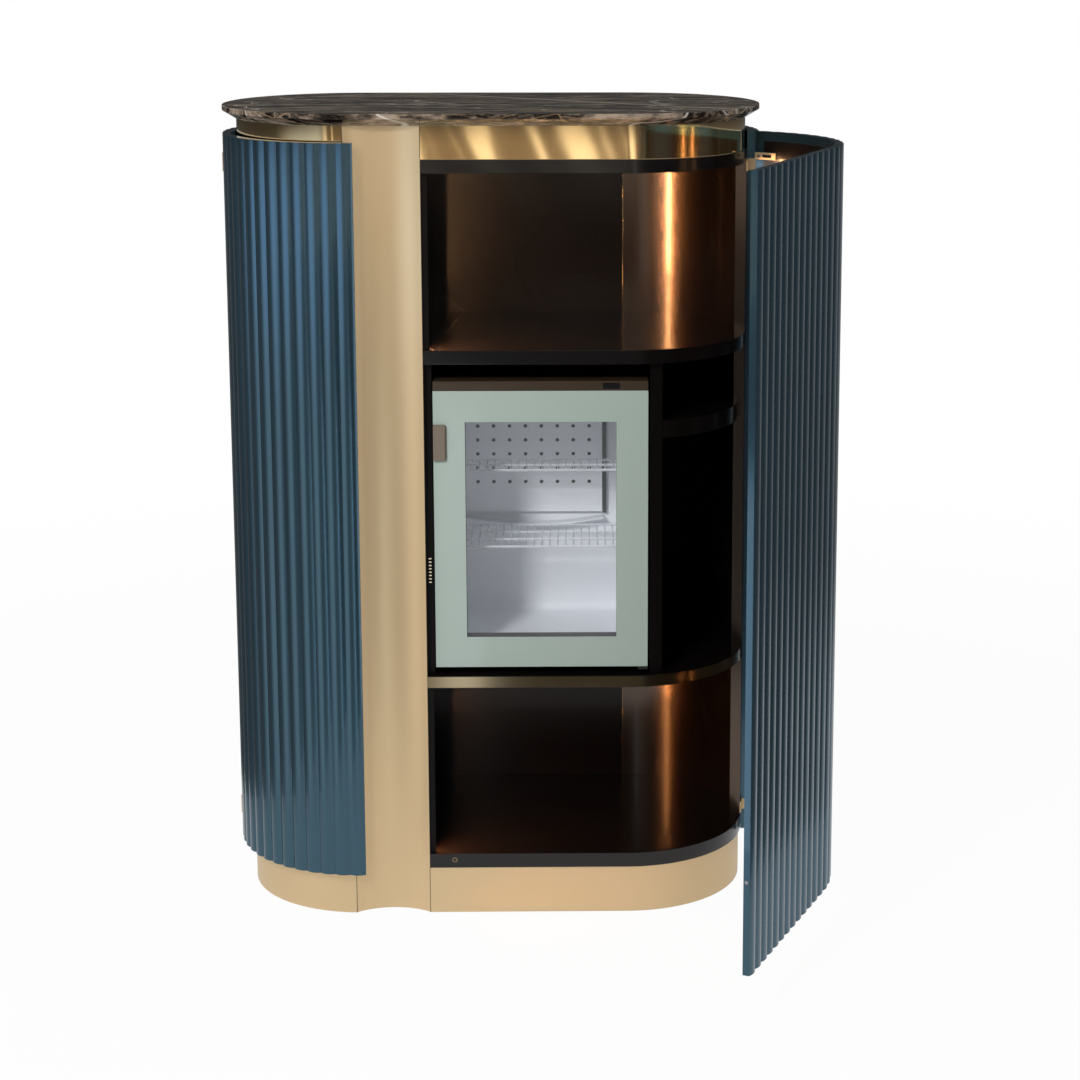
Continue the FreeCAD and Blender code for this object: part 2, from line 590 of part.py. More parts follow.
leaves = []
straps = []
pins = []
door_rooms = []
clad_rooms = []
for place, foot in (
    ("top", ROOF_BOTTOM + " - top_hinge_drop"),
    ("bottom", FLOOR_TOP + " + bottom_hinge_rise"),
):
    upper = foot + " + " + STRAP_RISE
    # The fixed leaf lies on the curved wall and reaches through the seam to its barrel
    leaf_front = "(wall_front - seam_angle)"
    leaf_turn = leaf_front + " + " + turn_of("seam_gap + leaf", CARCASS)
    plate = ring_slice(
        place + "_leaf_plate", CARCASS, CARCASS + " + leaf", "-" + leaf_front, leaf_turn, foot, "leaf_height"
    )
    web_start = CARCASS + " + leaf / 2"
    web_reach = HINGE_RADIUS + " - " + CARCASS + " - leaf / 2"
    web = box(place + "_leaf_web", web_start, "seam_gap", foot, web_reach, "leaf", "leaf_height")
    barrel = rod(place + "_leaf_barrel", "knuckle_radius", HINGE_RADIUS, "0", foot, "leaf_height")
    bore = rod(place + "_leaf_bore", "pin_radius", HINGE_RADIUS, "0", foot, "leaf_height")
    leaves.append(cut(place + "_leaf", fuse(place + "_leaf_body", plate, web, barrel), bore))
    # The strap lies on the inside of the door, with a slot for its screw
    strap_inside = "(" + INSIDE + " - strap)"
    strap_cover = "strap_turn - " + turn_of("seam_gap", INSIDE)
    strap_plate = ring_slice(
        place + "_strap_plate", strap_inside, INSIDE, "-strap_turn", strap_cover, upper, "strap_height"
    )
    slot = ring_slice(
        place + "_strap_slot", strap_inside, INSIDE, "strap_slot_end - strap_turn", "strap_slot_turn",
        upper + " + (strap_height - strap_slot) / 2", "strap_slot",
    )
    strap_web = box(
        place + "_strap_web", INSIDE + " - strap / 2", "-seam_gap - strap", upper,
        HINGE_RADIUS + " - " + INSIDE + " + strap / 2", "strap", "strap_height",
    )
    strap_barrel = rod(place + "_strap_barrel", "knuckle_radius", HINGE_RADIUS, "0", upper, "strap_height")
    strap_way = "pin_radius + pin_clearance"
    strap_bore = rod(place + "_strap_bore", strap_way, HINGE_RADIUS, "0", upper, "strap_height")
    strap_body = fuse(place + "_strap_body", strap_plate, strap_web, strap_barrel)
    straps.append(cut(place + "_strap", strap_body, strap_bore, slot))
    pins.append(rod(place + "_pin", "pin_radius", HINGE_RADIUS, "0", foot, HINGE_HEIGHT))
    # Room for the barrels in both panels, for the strap in the door and for the leaf behind it
    relief_foot = foot + " - hinge_gap"
    relief_radius = "knuckle_radius + knuckle_relief"
    relief_height = HINGE_HEIGHT + " + 2 * hinge_gap"
    relief = rod(place + "_relief", relief_radius, HINGE_RADIUS, "0", relief_foot, relief_height)
    strap_room = box(
        place + "_strap_room", strap_inside, "-seam_gap - strap", upper,
        "door_thickness + strap", "strap + seam_gap", "strap_height",
    )
    leaf_room = box(
        place + "_leaf_room", CARCASS, "0", relief_foot, HINGE_RADIUS + " - " + CARCASS,
        "seam_gap + leaf + knuckle_relief", "leaf_height + 2 * hinge_gap",
    )
    door_rooms += [relief, strap_room]
    clad_rooms += [relief, leaf_room]

half = size("half_straight")
seam = size("seam_angle")
hinge_radius = size("outer_radius") - size("hinge_inset")
axis_x = half + hinge_radius * math.cos(math.radians(seam))
axis = Vector(axis_x, -hinge_radius * math.sin(math.radians(seam)), 0)
home = FreeCAD.Placement(Vector(half, 0, 0), FreeCAD.Rotation(UP, -seam))
swing = FreeCAD.Placement(Vector(), FreeCAD.Rotation(UP, size("door_open")), axis)


def placed(name, place, *items):
    """Pieces moved together to a place."""
    whole = group(name, *items)
    whole.Placement = place
    return whole


leaf_pair = keep(placed("leaf_pair", home, *leaves), "right_hinge_leaves")
pin_pair = keep(placed("pin_pair", home, *pins), "right_hinge_pins")
strap_pair = placed("strap_pair", home, *straps)
door_room = placed("door_room", home, *door_rooms)
clad_room = placed("clad_room", home, *clad_rooms)
keep(mirrored("left_leaf_pair", leaf_pair), "left_hinge_leaves")
keep(mirrored("left_pin_pair", pin_pair), "left_hinge_pins")
keep(placed("open_straps", swing, strap_pair), "right_hinge_straps")
keep(mirrored("left_strap_pair", strap_pair), "left_hinge_straps")

# Fluted panels round the back, fixed to the carcass
crest = size("outer_radius")
inside = crest - size("door_thickness")
carcass = inside - size("door_gap")
depth = size("flute_depth")
low = size("plinth_height") - size("door_drop")
high = sum(size(layer) for layer in STACK) - size("door_head")
gap_turn = math.degrees(size("seam_gap") / crest)
clad_inside = carcass + size("clad_gap")
corner_path = [bend(half, gap_turn - seam, 90, int(size("rear_arc_flutes")))]
corner = strip("rear_right_blank", corner_path, crest, clad_inside, low, high, depth)
rear_right = keep(cut("rear_right", corner, clad_room), "rear_cladding_right")
keep(mirrored("rear_left", rear_right), "rear_cladding_left")
back_path = [flat(half, -half, 1, int(size("rear_flat_flutes")))]
keep(strip("rear_back", back_path, crest, clad_inside, low, high, depth), "rear_cladding_back")


# Doors: a fluted panel with a recess in its back, and a lining in the recess
def door(side, path, recess_path, room):
    """A door's panel and lining, closed."""
    rim = size("rim")
    face = inside + size("lining_inset")
    recess = face + size("lining")
    blank = strip(side + "_door_blank", path, crest, inside, low, high, depth)
    pocket = strip(side + "_door_pocket", recess_path, recess, carcass, low + rim, high - rim)
    panel = keep(cut(side + "_door_cut", blank, pocket, room), side + "_door_panel")
    sheet_strip = strip(side + "_door_sheet", recess_path, recess, face, low + rim, high - rim)
    return panel, keep(sheet_strip, side + "_door_lining")


rim_turn = math.degrees(size("rim") / inside)
column_middle = size("column_inset") - half
right_edge = column_middle + size("column_width") / 2 - size("right_overlap")
right_end = -seam - gap_turn
right_path = [
    flat(right_edge, half, -1, int(size("right_flat_flutes"))),
    bend(half, -90, right_end, int(size("right_arc_flutes"))),
]
right_recess = [flat(right_edge + size("rim"), half, -1, 1), bend(half, -90, right_end - rim_turn, 1)]
for piece in door("right", right_path, right_recess, door_room):
    piece.Placement = swing
left_edge = column_middle - size("column_width") / 2 + size("left_overlap")
left_start = 180 + seam + gap_turn
left_end = 270 + math.degrees(math.asin((left_edge + half) / crest))
left_path = [bend(-half, left_start, left_end, int(size("left_flutes")))]
left_recess = [bend(-half, left_start + rim_turn, left_end - rim_turn, 1)]
door("left", left_path, left_recess, mirrored("left_door_room", door_room))

# Magnet catches: a ring on the bottom panel for the right door, a block under a left shelf
magnet_y = "-" + CARCASS
magnet_level = "(plinth_height - door_drop + rim + strike_margin + strike_radius)"
magnet = rod_forward("magnet_disc", "magnet_radius", "magnet_x", magnet_y, magnet_level, "magnet_proud")
magnet_way = rod_forward("magnet_way", "magnet_bore", "magnet_x", magnet_y, magnet_level, "magnet_proud")
keep(cut("magnet", magnet, magnet_way), "right_catch")
strike_y = magnet_y + " - magnet_proud - magnet_gap"
strike_length = LINING_FACE + " - " + CARCASS + " - magnet_proud - magnet_gap"
strike = rod_forward("strike_disc", "strike_radius", "magnet_x", strike_y, magnet_level, strike_length)
keep(placed("open_strike", swing, strike), "right_strike")
catch_level = FLOOR_TOP + " + left_middle_rise - left_shelf - catch_height"
strike_face = "(" + LINING_FACE + " - left_strike)"
catch_front = "(" + strike_face + " - magnet_gap)"
for label, inner, outer in (
    ("left_catch", "(" + catch_front + " - catch_depth)", catch_front),
    ("left_strike", strike_face, LINING_FACE),
):
    start = "-catch_angle - catch_turn / 2"
    piece = ring_slice(label + "_piece", inner, outer, start, "catch_turn", catch_level, "catch_height")
    at_end = bind(group(label + "_at_end", piece), x="half_straight")
    keep(mirrored(label + "_mirror", at_end), label)

# Fridge case: insulated shell and liner
FRIDGE_FRONT = "(fridge_setback - " + CARCASS + ")"
CASE_FRONT = "(" + FRIDGE_FRONT + " + fridge_door + fridge_gasket + fridge_seal_gap)"
CASE_REAR = "(" + BACK_INSIDE + " - fridge_back_room - cooler_fin_depth - cooler_depth)"
CASE_BOTTOM = "(" + MIDDLE_TOP + " + fridge_foot_height)"
CASE_TOP = "(" + UPPER_BOTTOM + " - fridge_headroom)"
LINER_LEFT = "(" + FRIDGE_LEFT + " + fridge_case + fridge_lining)"
LINER_WIDTH = "(fridge_width - 2 * (fridge_case + fridge_lining))"
LINER_BACK = "(" + CASE_REAR + " - fridge_case - fridge_lining)"
LINER_TOP = "(" + CASE_TOP + " - fridge_case - fridge_lining)"


def case_block(name, margin):
    """The fridge's outer block drawn in by a margin on every side but the front."""
    return box(
        name, FRIDGE_LEFT + " + " + margin, CASE_FRONT, CASE_BOTTOM + " + " + margin,
        "fridge_width - 2 * " + margin, CASE_REAR + " - " + CASE_FRONT + " - " + margin,
        CASE_TOP + " - " + CASE_BOTTOM + " - 2 * " + margin,
    )


case_room = case_block("case_room", "fridge_case")
keep(cut("case_shell", case_block("case_outside", "0"), case_room), "fridge_shell")
liner_room = case_block("liner_room", "(fridge_case + fridge_lining)")
keep(cut("liner", case_room, liner_room), "fridge_liner")

# Fridge inside: a perforated plate on two flanges, and two racks
plate_left = "(" + LINER_LEFT + " + plate_inset)"
plate_bottom = "(" + LINER_TOP + " - plate_drop - plate_height)"
plate_front = "(" + LINER_BACK + " - plate_standoff - plate)"
plate_face = box("plate_face", plate_left, plate_front, plate_bottom, "plate_width", "plate", "plate_height")
flanges = []
for number, x in enumerate((plate_left, plate_left + " + plate_width - plate")):
    reach = "plate + plate_standoff"
    flanges.append(box("flange_%d" % number, x, plate_front, plate_bottom, "plate", reach, "plate_height"))
holes = []
for column in range(HOLE_COLUMNS):
    for row in range(HOLE_ROWS):
        x = plate_left + " + hole_inset + hole_pitch_x * %d" % column
        z = plate_bottom + " + hole_rise + hole_pitch_z * %d" % row
        name = "hole_%d_%d" % (column, row)
        holes.append(rod_forward(name, "hole_radius", x, plate_front + " + plate", z, "plate"))
plate = fuse("plate_body", plate_face, *flanges)
keep(cut("plate_cut", plate, group("holes", *holes)), "fridge_back_plate")
for place in ("lower", "upper"):
    rack_bottom = CASE_BOTTOM + " + " + place + "_rack_rise - rack"
    rack_front = "(" + CASE_FRONT + " + " + place + "_rack_setback)"
    rack_depth = "(" + LINER_BACK + " - " + rack_front + " - " + place + "_rack_gap)"
    slab = box("rack_" + place, LINER_LEFT, rack_front, rack_bottom, LINER_WIDTH, rack_depth, "rack")
    slot_width = "((" + LINER_WIDTH + " - rack_bar * %d) / %d)" % (RACK_SLOTS + 1, RACK_SLOTS)
    gaps = []
    for number in range(RACK_SLOTS):
        name = "gap_%s_%d" % (place, number)
        x = LINER_LEFT + " + rack_bar + (" + slot_width + " + rack_bar) * %d" % number
        gap_front = rack_front + " + rack_bar"
        gap_depth = rack_depth + " - 2 * rack_bar"
        gaps.append(box(name, x, gap_front, rack_bottom, slot_width, gap_depth, "rack"))
    keep(cut("rack_cut_" + place, slab, group("gaps_" + place, *gaps)), "fridge_shelf_" + place)

# Fridge outside: control strip, display, feet and cooling unit
STRIP_BOTTOM = "(" + CASE_TOP + " - fridge_strip)"
front_depth = CASE_FRONT + " - " + FRIDGE_FRONT
control = box("control", FRIDGE_LEFT, FRIDGE_FRONT, STRIP_BOTTOM, "fridge_width", front_depth, "fridge_strip")
keep(control, "fridge_control_strip")
display_level = STRIP_BOTTOM + " + (fridge_strip - display_height) / 2"
display = box(
    "display", FRIDGE_RIGHT + " - display_inset", FRIDGE_FRONT + " - display_proud", display_level,
    "display_width", "display_proud", "display_height",
)
keep(display, "fridge_display")
case_feet = []
for x in (FRIDGE_LEFT + " + fridge_foot_inset", FRIDGE_RIGHT + " - fridge_foot_inset"):
    for y in (CASE_FRONT + " + fridge_foot_inset", CASE_REAR + " - fridge_foot_inset"):
        case_feet.append(rod("case_foot", "fridge_foot", x, y, MIDDLE_TOP, "fridge_foot_height"))
keep(group("case_feet", *case_feet), "fridge_feet")
cooler_left = "(" + FRIDGE_LEFT + " + (fridge_width - cooler_width) / 2)"
level = CASE_BOTTOM + " + fridge_case"
cooler = [box("cooler", cooler_left, CASE_REAR, level, "cooler_width", "cooler_depth", "cooler_height")]
for number in range(COOLER_FINS):
    x = cooler_left + " + (cooler_width - cooler_fin) * %d / %d" % (number, COOLER_FINS - 1)
    y = CASE_REAR + " + cooler_depth"
    cooler.append(box("fin_%d" % number, x, y, level, "cooler_fin", "cooler_fin_depth", "cooler_height"))
keep(fuse("cooler_body", *cooler), "fridge_cooling_unit")

# Fridge door: painted frame, pane, seal and handle, hung on two pins at its right edge
DOOR_BOTTOM = "(" + CASE_BOTTOM + " + bracket + bracket_gap)"
DOOR_TOP = "(" + STRIP_BOTTOM + " - fridge_strip_gap)"
PIVOT_X = "(" + FRIDGE_RIGHT + " - fridge_pivot)"
PIVOT_Y = "(" + FRIDGE_FRONT + " + fridge_pivot)"


def door_block(name, margin, y, thickness):
    """A block as large as the fridge's door less a margin all round."""
    return box(
        name, FRIDGE_LEFT + " + " + margin, y, DOOR_BOTTOM + " + " + margin,
        "fridge_width - 2 * " + margin, thickness, DOOR_TOP + " - " + DOOR_BOTTOM + " - 2 * " + margin,
    )


pin_hole = "fridge_pin + pin_clearance"
hole_depth = "(fridge_pin_reach + hinge_gap)"
low_hole = rod("low_hole", pin_hole, PIVOT_X, PIVOT_Y, DOOR_BOTTOM, hole_depth)
high_hole = rod("high_hole", pin_hole, PIVOT_X, PIVOT_Y, DOOR_TOP + " - " + hole_depth, hole_depth)
leaf_block = door_block("leaf_block", "0", FRIDGE_FRONT, "fridge_door")
window = door_block("window", "window_margin", FRIDGE_FRONT, "fridge_door")
keep(cut("fridge_leaf", leaf_block, window, low_hole, high_hole), "fridge_door_frame")
pane = door_block("pane", "window_margin", FRIDGE_FRONT + " + glass_inset", "glass")
keep(pane, "fridge_door_glass")
seal_front = FRIDGE_FRONT + " + fridge_door"
seal_room = door_block("seal_room", "(gasket_margin + gasket_width)", seal_front, "fridge_gasket")
seal = door_block("seal", "gasket_margin", seal_front, "fridge_gasket")
keep(cut("seal_cut", seal, seal_room), "fridge_door_gasket")
level = DOOR_TOP + " - handle_drop - handle_height"
front = FRIDGE_FRONT + " - handle_depth"
handle = box("handle", FRIDGE_LEFT, front, level, "handle_width", "handle_depth", "handle_height")
keep(handle, "fridge_handle")
left = FRIDGE_RIGHT + " - bracket_width"
bracket = box("bracket_plate", left, FRIDGE_FRONT, CASE_BOTTOM, "bracket_width", front_depth, "bracket")
keep(bracket, "fridge_hinge_bracket")
low_reach = "bracket_gap + fridge_pin_reach"
low_pin = rod("low_pin", "fridge_pin", PIVOT_X, PIVOT_Y, CASE_BOTTOM + " + bracket", low_reach)
high_reach = "fridge_strip_gap + fridge_pin_reach"
high_pin = rod("high_pin", "fridge_pin", PIVOT_X, PIVOT_Y, DOOR_TOP + " - fridge_pin_reach", high_reach)
keep(group("case_pins", low_pin, high_pin), "fridge_hinge_pins")

doc.recompute()
for item in doc.Objects:
    if "Invalid" in item.State or "Error" in item.State:
        raise RuntimeError("%s failed: %s" % (item.Name, item.State))
for item in PARTS:
    if item.Shape.isNull() or not item.Shape.isValid() or not item.Shape.Solids:
        raise RuntimeError(item.Label + " has no valid solid")
os.makedirs("parts", exist_ok=True)
for item in PARTS:
    item.Shape.exportStep("parts/" + item.Label + ".step")
print(len(PARTS), "sub-parts; hinge axis at", [round(value, 3) for value in axis])
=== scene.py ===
import math

import bmesh
import bpy
from mathutils import Matrix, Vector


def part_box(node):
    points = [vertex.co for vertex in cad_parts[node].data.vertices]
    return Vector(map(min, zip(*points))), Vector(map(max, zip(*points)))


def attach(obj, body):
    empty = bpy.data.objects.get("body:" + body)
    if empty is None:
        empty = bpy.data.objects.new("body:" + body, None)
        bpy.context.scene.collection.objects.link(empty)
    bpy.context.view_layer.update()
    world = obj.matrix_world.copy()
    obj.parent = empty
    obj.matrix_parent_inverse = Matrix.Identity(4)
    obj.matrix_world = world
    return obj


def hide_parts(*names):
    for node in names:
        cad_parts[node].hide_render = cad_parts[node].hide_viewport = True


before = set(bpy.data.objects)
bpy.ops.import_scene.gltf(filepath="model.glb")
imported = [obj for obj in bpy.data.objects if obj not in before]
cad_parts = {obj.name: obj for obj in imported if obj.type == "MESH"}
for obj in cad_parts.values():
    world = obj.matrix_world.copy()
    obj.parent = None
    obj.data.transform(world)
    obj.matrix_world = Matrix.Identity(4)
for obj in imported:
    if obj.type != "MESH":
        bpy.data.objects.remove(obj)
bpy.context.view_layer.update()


# Feet and their blocks
# Five screw-in levelling feet under beech blocks carry the plinth off the floor.
# The feet are black moulded plastic on a steel thread, pushed into the blocks.

class Shade:
    """One output of a material's nodes, so that masks and sums read as plain arithmetic."""

    def __init__(self, output):
        self.output = output

    def node(self, kind, settings=None, inputs=None, out=0):
        """Any other node of the same material: settings first, then values or links of its sockets."""
        tree = self.output.id_data
        made = tree.nodes.new(kind)
        for name, value in (settings or {}).items():
            if name == "stops":
                ramp = made.color_ramp.elements
                ramp[0].position, ramp[0].color = value[0]
                ramp[1].position, ramp[1].color = value[-1]
                for position, colour in value[1:-1]:
                    ramp.new(position).color = colour
            else:
                setattr(made, name, value)
        for name, value in (inputs or {}).items():
            if isinstance(value, Shade):
                tree.links.new(value.output, made.inputs[name])
            else:
                made.inputs[name].default_value = value
        return Shade(made.outputs[out])

    def math(self, operation, first, second):
        return self.node("ShaderNodeMath", {"operation": operation}, {0: first, 1: second})

    def __add__(self, other):
        return self.math("ADD", self, other)

    def __radd__(self, other):
        return self.math("ADD", other, self)

    def __sub__(self, other):
        return self.math("SUBTRACT", self, other)

    def __rsub__(self, other):
        return self.math("SUBTRACT", other, self)

    def __mul__(self, other):
        return self.math("MULTIPLY", self, other)

    def __rmul__(self, other):
        return self.math("MULTIPLY", other, self)

    def ramp(self, low, high):
        """Rises smoothly from 0 where the value is low to 1 where it is high."""
        return self.node("ShaderNodeMapRange", {"interpolation_type": "SMOOTHSTEP"},
                         {"Value": self, "From Min": low, "From Max": high})

    def mix(self, first, second):
        """The first colour where this mask is 0 and the second where it is 1."""
        return self.node("ShaderNodeMix", {"data_type": "RGBA"}, {0: self, 6: first, 7: second}, 2)

    def stretched(self, scale):
        """These coordinates squeezed along each axis, so that a pattern on them is drawn out."""
        return self.node("ShaderNodeMapping", None, {"Vector": self, "Scale": scale})

    def noise(self, scale, detail=2.0, rough=0.5):
        return self.node("ShaderNodeTexNoise", None,
                         {"Vector": self, "Scale": scale, "Detail": detail, "Roughness": rough})

    def axis(self, number):
        """One of the three coordinates."""
        return self.node("ShaderNodeSeparateXYZ", None, {"Vector": self}, number)

    def bump(self, distance, strength=1.0):
        """Surface normals of this height, which is worth the given metres from 0 to 1."""
        return self.node("ShaderNodeBump", None,
                         {"Height": self, "Distance": distance, "Strength": strength})


def new_finish(name, constants):
    """A new material with its constant sockets set: the material, its shader and its coordinates."""
    made = bpy.data.materials.new(name)
    made.use_nodes = True
    shader = made.node_tree.nodes["Principled BSDF"]
    for socket, value in constants.items():
        shader.inputs[socket].default_value = value
    place = Shade(made.node_tree.nodes.new("ShaderNodeTexCoord").outputs["Object"])
    return made, shader, place


def feed(shader, sockets):
    """Links what varies over the surface to the shader's sockets."""
    for name, value in sockets.items():
        shader.id_data.links.new(value.output, shader.inputs[name])


def dress(finish, *nodes):
    """Gives CAD nodes a finish."""
    for name in nodes:
        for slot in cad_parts[name].material_slots:
            slot.material = finish


def moulded(name, dark, light, rough, grain):
    """Moulded plastic or paint: a fine even grain and a slight cloudiness of colour."""
    finish, shader, place = new_finish(name, {"Specular IOR Level": 0.45})
    cloud = place.noise(9.0, 3.0)
    pits = place.noise(grain, 2.0)
    feed(shader, {"Base Color": cloud.mix(dark, light),
                  "Roughness": rough + 0.12 * (pits - 0.5),
                  "Normal": pits.bump(0.00008)})
    return finish


black_plastic = moulded("black_plastic", (0.012, 0.012, 0.013, 1), (0.022, 0.022, 0.023, 1),
                        0.45, 1400.0)

beech, shader, place = new_finish("beech_blocks", {"Roughness": 0.6})
rings = place.stretched((1.0, 14.0, 14.0)).noise(6.0, 4.0)
feed(shader, {"Base Color": rings.mix((0.36, 0.21, 0.11, 1), (0.52, 0.33, 0.19, 1)),
              "Normal": rings.bump(0.0003)})

dress(black_plastic, "levelling_feet", "cable_gland", "led_driver")
dress(beech, "foot_blocks")


# Plinth
# An oval ring of board wrapped in thin satin brass sheet, with a hollow in front for the column.
# The sheet is glued on and, like the collar's, butts against the column's; the two fine dark seams at
# these joins are painted shadow.

def brushed_metal(name, dark, light, rough, draw, constants):
    """Sheet metal with drawn-out grinding lines and a faint change of tone over the sheet."""
    finish, shader, place = new_finish(name, {"Metallic": 1.0, **constants})
    lines = place.stretched(draw).noise(900.0, 2.0, 0.6)
    cloud = place.noise(2.2, 1.0)
    feed(shader, {"Base Color": (0.7 * cloud + 0.3 * lines).mix(dark, light),
                  "Roughness": rough + 0.06 * (lines - 0.5) + 0.04 * (cloud - 0.5),
                  "Normal": lines.bump(0.000012, 0.4)})
    return finish


def edit(piece):
    """Makes a piece the one that is worked on, all of it selected, in edit mode."""
    bpy.ops.object.select_all(action="DESELECT")
    bpy.context.view_layer.objects.active = piece
    piece.select_set(True)
    bpy.ops.object.mode_set(mode="EDIT")
    bpy.ops.mesh.select_all(action="SELECT")


def start_piece(name):
    """Names the primitive that was just added, keeps its place in its mesh and starts to edit it."""
    piece = bpy.context.object
    piece.name = name
    piece.data.name = name
    bpy.ops.object.transform_apply(location=True, rotation=True, scale=True)
    edit(piece)
    return piece


def start_block(name, low, high):
    """A block between two corners, in edit mode."""
    bpy.ops.object.select_all(action="DESELECT")
    middle = [(a + b) / 2 for a, b in zip(low, high)]
    bpy.ops.mesh.primitive_cube_add(size=1, location=middle, scale=[b - a for a, b in zip(low, high)])
    return start_piece(name)


def round_edges(width, segments=2):
    """Rounds the edges that are selected."""
    bpy.ops.mesh.bevel(offset=width, segments=segments, affect="EDGES")


def apply_modifier(piece, kind, **settings):
    """Adds a modifier with its settings and applies it."""
    added = piece.modifiers.new(kind.lower(), kind)
    for name, value in settings.items():
        setattr(added, name, value)
    bpy.ops.object.modifier_apply(modifier=added.name)


def end_piece(piece, body, slot, finish, *nodes):
    """Leaves edit mode, gives the piece its finish and body, and lets it stand for CAD nodes."""
    bpy.ops.object.mode_set(mode="OBJECT")
    bpy.ops.object.shade_smooth_by_angle(angle=math.radians(35))
    apply_modifier(piece, "WEIGHTED_NORMAL", weight=50, keep_sharp=True)
    piece.data.materials.clear()
    piece.data.materials.append(finish)
    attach(piece, body)
    if nodes:
        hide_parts(*nodes)
    return piece


def copied(piece, name, move):
    """A copy of a finished piece with its own mesh, moved by a matrix, in edit mode."""
    mesh = piece.data.copy()
    mesh.name = name
    mesh.transform(move)
    copy = bpy.data.objects.new(name, mesh)
    bpy.context.scene.collection.objects.link(copy)
    edit(copy)
    return copy


board, shader, place = new_finish("core_board", {"Roughness": 0.7})
chips = place.noise(420.0, 3.0, 0.7)
feed(shader, {"Base Color": chips.mix((0.19, 0.12, 0.07, 1), (0.36, 0.25, 0.15, 1)),
              "Normal": chips.bump(0.0004)})
satin_brass = brushed_metal("satin_brass", (0.71, 0.525, 0.298, 1), (0.79, 0.594, 0.355, 1), 0.42,
                            (1.0, 1.0, 0.03), {"Metallic": 0.75})
seam_shadow = moulded("seam_shadow", (0.030, 0.018, 0.009, 1), (0.05, 0.03, 0.016, 1), 0.6, 900.0)
dress(board, "plinth_frame", "top_frame", "column_core")
dress(satin_brass, "plinth_skin")
seam_half = 0.0006
seam_proud = 0.0002
seam_sunk = 0.0008
seam_gap = 0.0005
seam_arris = 0.00015
column_low, column_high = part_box("column_skin")
# Thin dark strips at the joins stand in for the shadow in each seam: painted shade
for band, node, foot_gap in (("plinth", "plinth_skin", 0), ("collar", "collar_band", seam_gap)):
    band_low, band_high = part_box(node)
    seam = start_block(band + "_seam_left",
                       (column_low.x - seam_half, band_low.y - seam_proud, band_low.z + foot_gap),
                       (column_low.x + seam_half, band_low.y + seam_sunk, band_high.z - seam_gap))
    round_edges(seam_arris, 1)
    end_piece(seam, "cabinet", "brass_satin", seam_shadow)
    to_right = Matrix.Translation((column_high.x - column_low.x, 0, 0))
    seam = copied(seam, band + "_seam_right", to_right)
    end_piece(seam, "cabinet", "brass_satin", seam_shadow)


# Boards of the carcass
# Lacquered boards: floor, roof, curved walls, back, partitions, shelves and the divider by the fridge.
# They are sprayed bronze-black and polished. The back meets the curved wall in a fine bronze bead,
# and a bronze strip is glued to the middle shelf's edge.

def lacquer(name, dark, light, rough, constants):
    """Polished lacquer: a slight orange peel under a clear coat."""
    finish, shader, place = new_finish(name, {"Coat Roughness": 0.13, **constants})
    peel = place.noise(120.0, 1.0)
    cloud = place.noise(4.0, 2.0)
    feed(shader, {"Base Color": cloud.mix(dark, light),
                  "Roughness": rough + 0.06 * (cloud - 0.5),
                  "Normal": peel.bump(0.00001)})
    return finish


weld_gap = 0.000005


def softened(node, name, width, body, slot, finish):
    """A copy of a CAD node with its sharp edges rounded, which stands for the node."""
    piece = bpy.data.objects.new(name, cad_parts[node].data.copy())
    bpy.context.scene.collection.objects.link(piece)
    edit(piece)
    bpy.ops.mesh.customdata_custom_splitnormals_clear()
    bpy.ops.mesh.remove_doubles(threshold=weld_gap)
    bpy.ops.mesh.mark_sharp(clear=True)
    bpy.ops.mesh.dissolve_limited(angle_limit=math.radians(0.5))
    bpy.ops.object.mode_set(mode="OBJECT")
    apply_modifier(piece, "BEVEL", width=width, segments=2, limit_method="ANGLE",
                   angle_limit=math.radians(61))
    edit(piece)
    return end_piece(piece, body, slot, finish, node)


deep_black, soft_black = (0.0030, 0.0022, 0.0023, 1), (0.0056, 0.0038, 0.0034, 1)
bronze_black = lacquer("bronze_black_lacquer", deep_black, soft_black, 0.25,
                       {"Specular IOR Level": 0.25, "Coat Weight": 0.42})
board_arris = 0.0008
for node in ("floor_panel", "roof_panel", "middle_shelf", "upper_shelf", "left_shelf_lower",
             "left_shelf_middle", "left_shelf_upper", "side_shelf", "divider"):
    softened(node, node + "_board", board_arris, "cabinet", "bronze_lacquer", bronze_black)
dress(bronze_black, "partition_left", "partition_right")
back_black = lacquer("back_black_lacquer", deep_black, soft_black, 0.27,
                     {"Specular IOR Level": 0.15, "Coat Weight": 0.20})
dress(back_black, "back_panel")
wall_black = lacquer("wall_black_lacquer", deep_black, soft_black, 0.24,
                     {"Specular IOR Level": 0.72, "Specular Tint": (1.0, 0.60, 0.34, 1),
                      "Coat Weight": 1.0, "Coat Roughness": 0.15})
dress(wall_black, "right_wall", "left_wall")

bronze_trim = brushed_metal("bronze_trim", (0.22, 0.155, 0.085, 1), (0.28, 0.20, 0.115, 1), 0.16,
                            (0.02, 0.02, 1.0), {})
back_low, back_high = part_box("back_panel")
shelf_low, shelf_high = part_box("middle_shelf")
lit_rooms = (("lower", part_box("floor_panel")[1].z, shelf_low.z),
             ("upper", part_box("upper_shelf")[1].z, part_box("roof_panel")[0].z))
bead_half = 0.0006
bead_proud = 0.0010
bead_sunk = 0.0003
bead_gap = 0.0005
bead_arris = 0.0004
for room, foot, head in lit_rooms:
    bead = start_block("back_bead_" + room,
                       (back_high.x - bead_half, back_low.y - bead_proud, foot + bead_gap),
                       (back_high.x + bead_half, back_low.y + bead_sunk, head - bead_gap))
    round_edges(bead_arris)
    end_piece(bead, "cabinet", "bronze_lacquer", bronze_trim)


